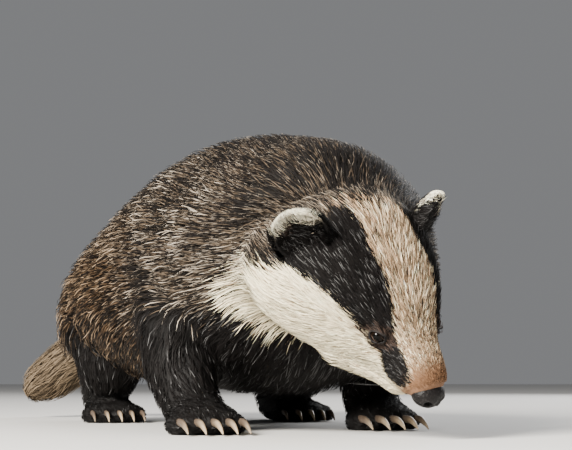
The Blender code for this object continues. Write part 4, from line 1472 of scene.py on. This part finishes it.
def whiskers(skin_points):
    """Stiff dark bristles on the lips."""
    lines = []
    share = np.array(WHISKER_STATIONS)[:, None]
    for side, _ in SIDES:
        for _ in range(WHISKERS):
            x = rng.uniform(*WHISKER_X)
            z = rng.uniform(*WHISKER_Z)
            way = unit(np.array((-0.35 + rng.normal(0, 0.15), side, -0.25 + rng.normal(0, 0.2))))
            long = rng.uniform(*WHISKER_LENGTH)
            droop = WHISKER_DROOP * share * share * (long / 0.03)
            lines.append(from_head(np.array((x, side * WHISKER_Y, z)) + way * long * share + droop))
    lines = np.array(lines)
    # Each bristle starts at the skin's own surface.
    shift = skin_points[nearest_of(skin_points)(lines[:, 0])] - lines[:, 0]
    lines = lines + shift[:, None, :]
    count = len(lines)
    uv = rng.uniform(0.05, 0.95, (count, 2))
    up = np.tile(HEAD_AXES[:, 2], (count, 1))
    piece = build_hairs("whiskers", lines, up, np.full(count, WHISKER_WIDTH),
                        np.full(lines.shape, WHISKER_TINT), uv, WHISKER_STATIONS)
    dress(piece, FUR, "black_fur")


def coat_pieces(skin):
    """All the hair that grows from the skin."""
    points = coords(skin.data)
    found = areas(points)
    set_tint(skin.data, skin_colours(points, found))
    surface = Surface(skin, found["way"], hair_sizes(found))
    local = found["local"]
    clear = np.ones(len(points))
    for side, _ in SIDES:
        clear *= eye_reach(local, side) > LID_CLEAR
    clear *= 1 - np.exp(-((mouth_gap(local) / MOUTH_CLEAR) ** 2))
    pad = np.linalg.norm((local - np.array(NOSE_MIDDLE)) / (np.array(NOSE_PAD) + 0.001), axis=1)
    clear *= pad > 1.0
    clear *= points[:, 2] > SOLE_CLEAR
    thin = 1.0
    head = found["head"] > 0.5
    legs = (found["legs"] > 0.4) & ~head
    tail = (found["tail"] > 0.5) & ~head
    body = ~head & ~legs & ~tail
    face = fade("face", local[:, 0]) * head
    pieces = []
    for layers, keep, stations, names, axis, sway in (
        (BODY_LAYERS, body, LONG_STATIONS, [f"coat_body_{i}" for i in range(1, 7)], 0, 0.16),
        (TAIL_LAYERS, tail, LONG_STATIONS, ["coat_tail"], 0, 0.16),
        (HEAD_LAYERS, head * (1 - face), SHORT_STATIONS, ["coat_head_1", "coat_head_2"], 2, 0.12),
        (FACE_LAYERS, face, SHORT_STATIONS, ["coat_face_1", "coat_face_2"], 0, 0.10),
        (LEG_LAYERS, legs, SHORT_STATIONS, [f"coat_legs_{i}" for i in range(1, 4)], 0, 0.14),
    ):
        pieces += grow_coat(surface, found, layers * thin, clear * keep, stations, names, axis, sway)
    return pieces


# The photo's camera: its place, its turn from -X toward +Y, its turn upward, and its lens in mm.
CAMERA_PLACE = Vector((1.2606, -0.3729, 0.04))
CAMERA_HEADING = math.radians(18.0)
CAMERA_PITCH = math.radians(5.64)
LENS = 97.55
SENSOR = 36.0

FLOOR_RADIUS = 9.0
FLOOR_TONES = ((0.60, 0.59, 0.57, 1), (0.64, 0.63, 0.61, 1))
# Each light's place, size in metres, power in watts and colour. They all face one place.
LIGHTS = {
    "key": ((1.30, -1.45, 1.00), 0.7, 215.0, (1.0, 0.955, 0.880)),
    "top": ((-0.2, 0.5, 2.4), 1.6, 24.0, (1.0, 1.0, 1.0)),
    "back": ((-1.5, 1.7, 1.2), 1.2, 44.0, (1.0, 1.0, 1.0)),
}
LIT_PLACE = Vector((0.1, 0.0, 0.12))
SKY_COLOUR = (0.62, 0.63, 0.65, 1)
SKY_STRENGTH = 0.34


def aimed(obj, place, way):
    """Stands a camera or a light at a place, to look along a direction."""
    obj.location = place
    obj.rotation_euler = way.to_track_quat("-Z", "Y").to_euler()
    return linked(obj)


def set_camera():
    data = bpy.data.cameras.new("camera")
    data.lens = LENS
    data.sensor_width = SENSOR
    data.clip_start = 0.01
    level = math.cos(CAMERA_PITCH)
    look = (-math.cos(CAMERA_HEADING) * level, math.sin(CAMERA_HEADING) * level, math.sin(CAMERA_PITCH))
    bpy.context.scene.camera = aimed(bpy.data.objects.new("camera", data), CAMERA_PLACE, Vector(look))


def lay_floor():
    """A pale floor with a faint mottle."""
    mesh = bmesh.new()
    bmesh.ops.create_circle(mesh, cap_ends=True, segments=96, radius=FLOOR_RADIUS)
    floor = made("floor", mesh)
    found, tree, shader = finish("floor", Roughness=0.8)
    noise = add_node(tree, "TexNoise", Scale=3.0)
    ramp = add_node(tree, "ValToRGB")
    for element, tone in zip(ramp.color_ramp.elements, FLOOR_TONES):
        element.color = tone
    place = add_node(tree, "TexCoord")
    tree.links.new(place.outputs["Object"], noise.inputs["Vector"])
    tree.links.new(noise.outputs["Fac"], ramp.inputs["Fac"])
    tree.links.new(ramp.outputs["Color"], shader.inputs["Base Color"])
    floor.data.materials.append(found)


def set_lights():
    for name, (place, size, power, colour) in LIGHTS.items():
        data = bpy.data.lights.new(name, "AREA")
        data.size = size
        data.energy = power
        data.color = colour
        aimed(bpy.data.objects.new(name, data), place, LIT_PLACE - Vector(place))
    world = bpy.data.worlds.new("studio")
    world.use_nodes = True
    set_inputs(world.node_tree.nodes["Background"], Color=SKY_COLOUR, Strength=SKY_STRENGTH)
    bpy.context.scene.world = world


def build():
    set_camera()
    lay_floor()
    set_lights()
    skin = flesh()
    blend_neck(skin)
    refine_face(skin)
    shape_face(skin)
    for piece in coat_pieces(skin):
        dress(piece, FUR, "grey_fur")
    dress(skin, SKIN, "grey_fur", "head", "lower_jaw", "neck", "torso", "tail", *limbs())
    for side, word in SIDES:
        eyeball(side, word)
        ear(side, word)
    nose_pad()
    for name, joints in limbs().items():
        claws(name.replace("leg_", ""), joints, *(FORE_CLAW if name.startswith("fore") else HIND_CLAW))
    whiskers(coords(skin.data))


build()
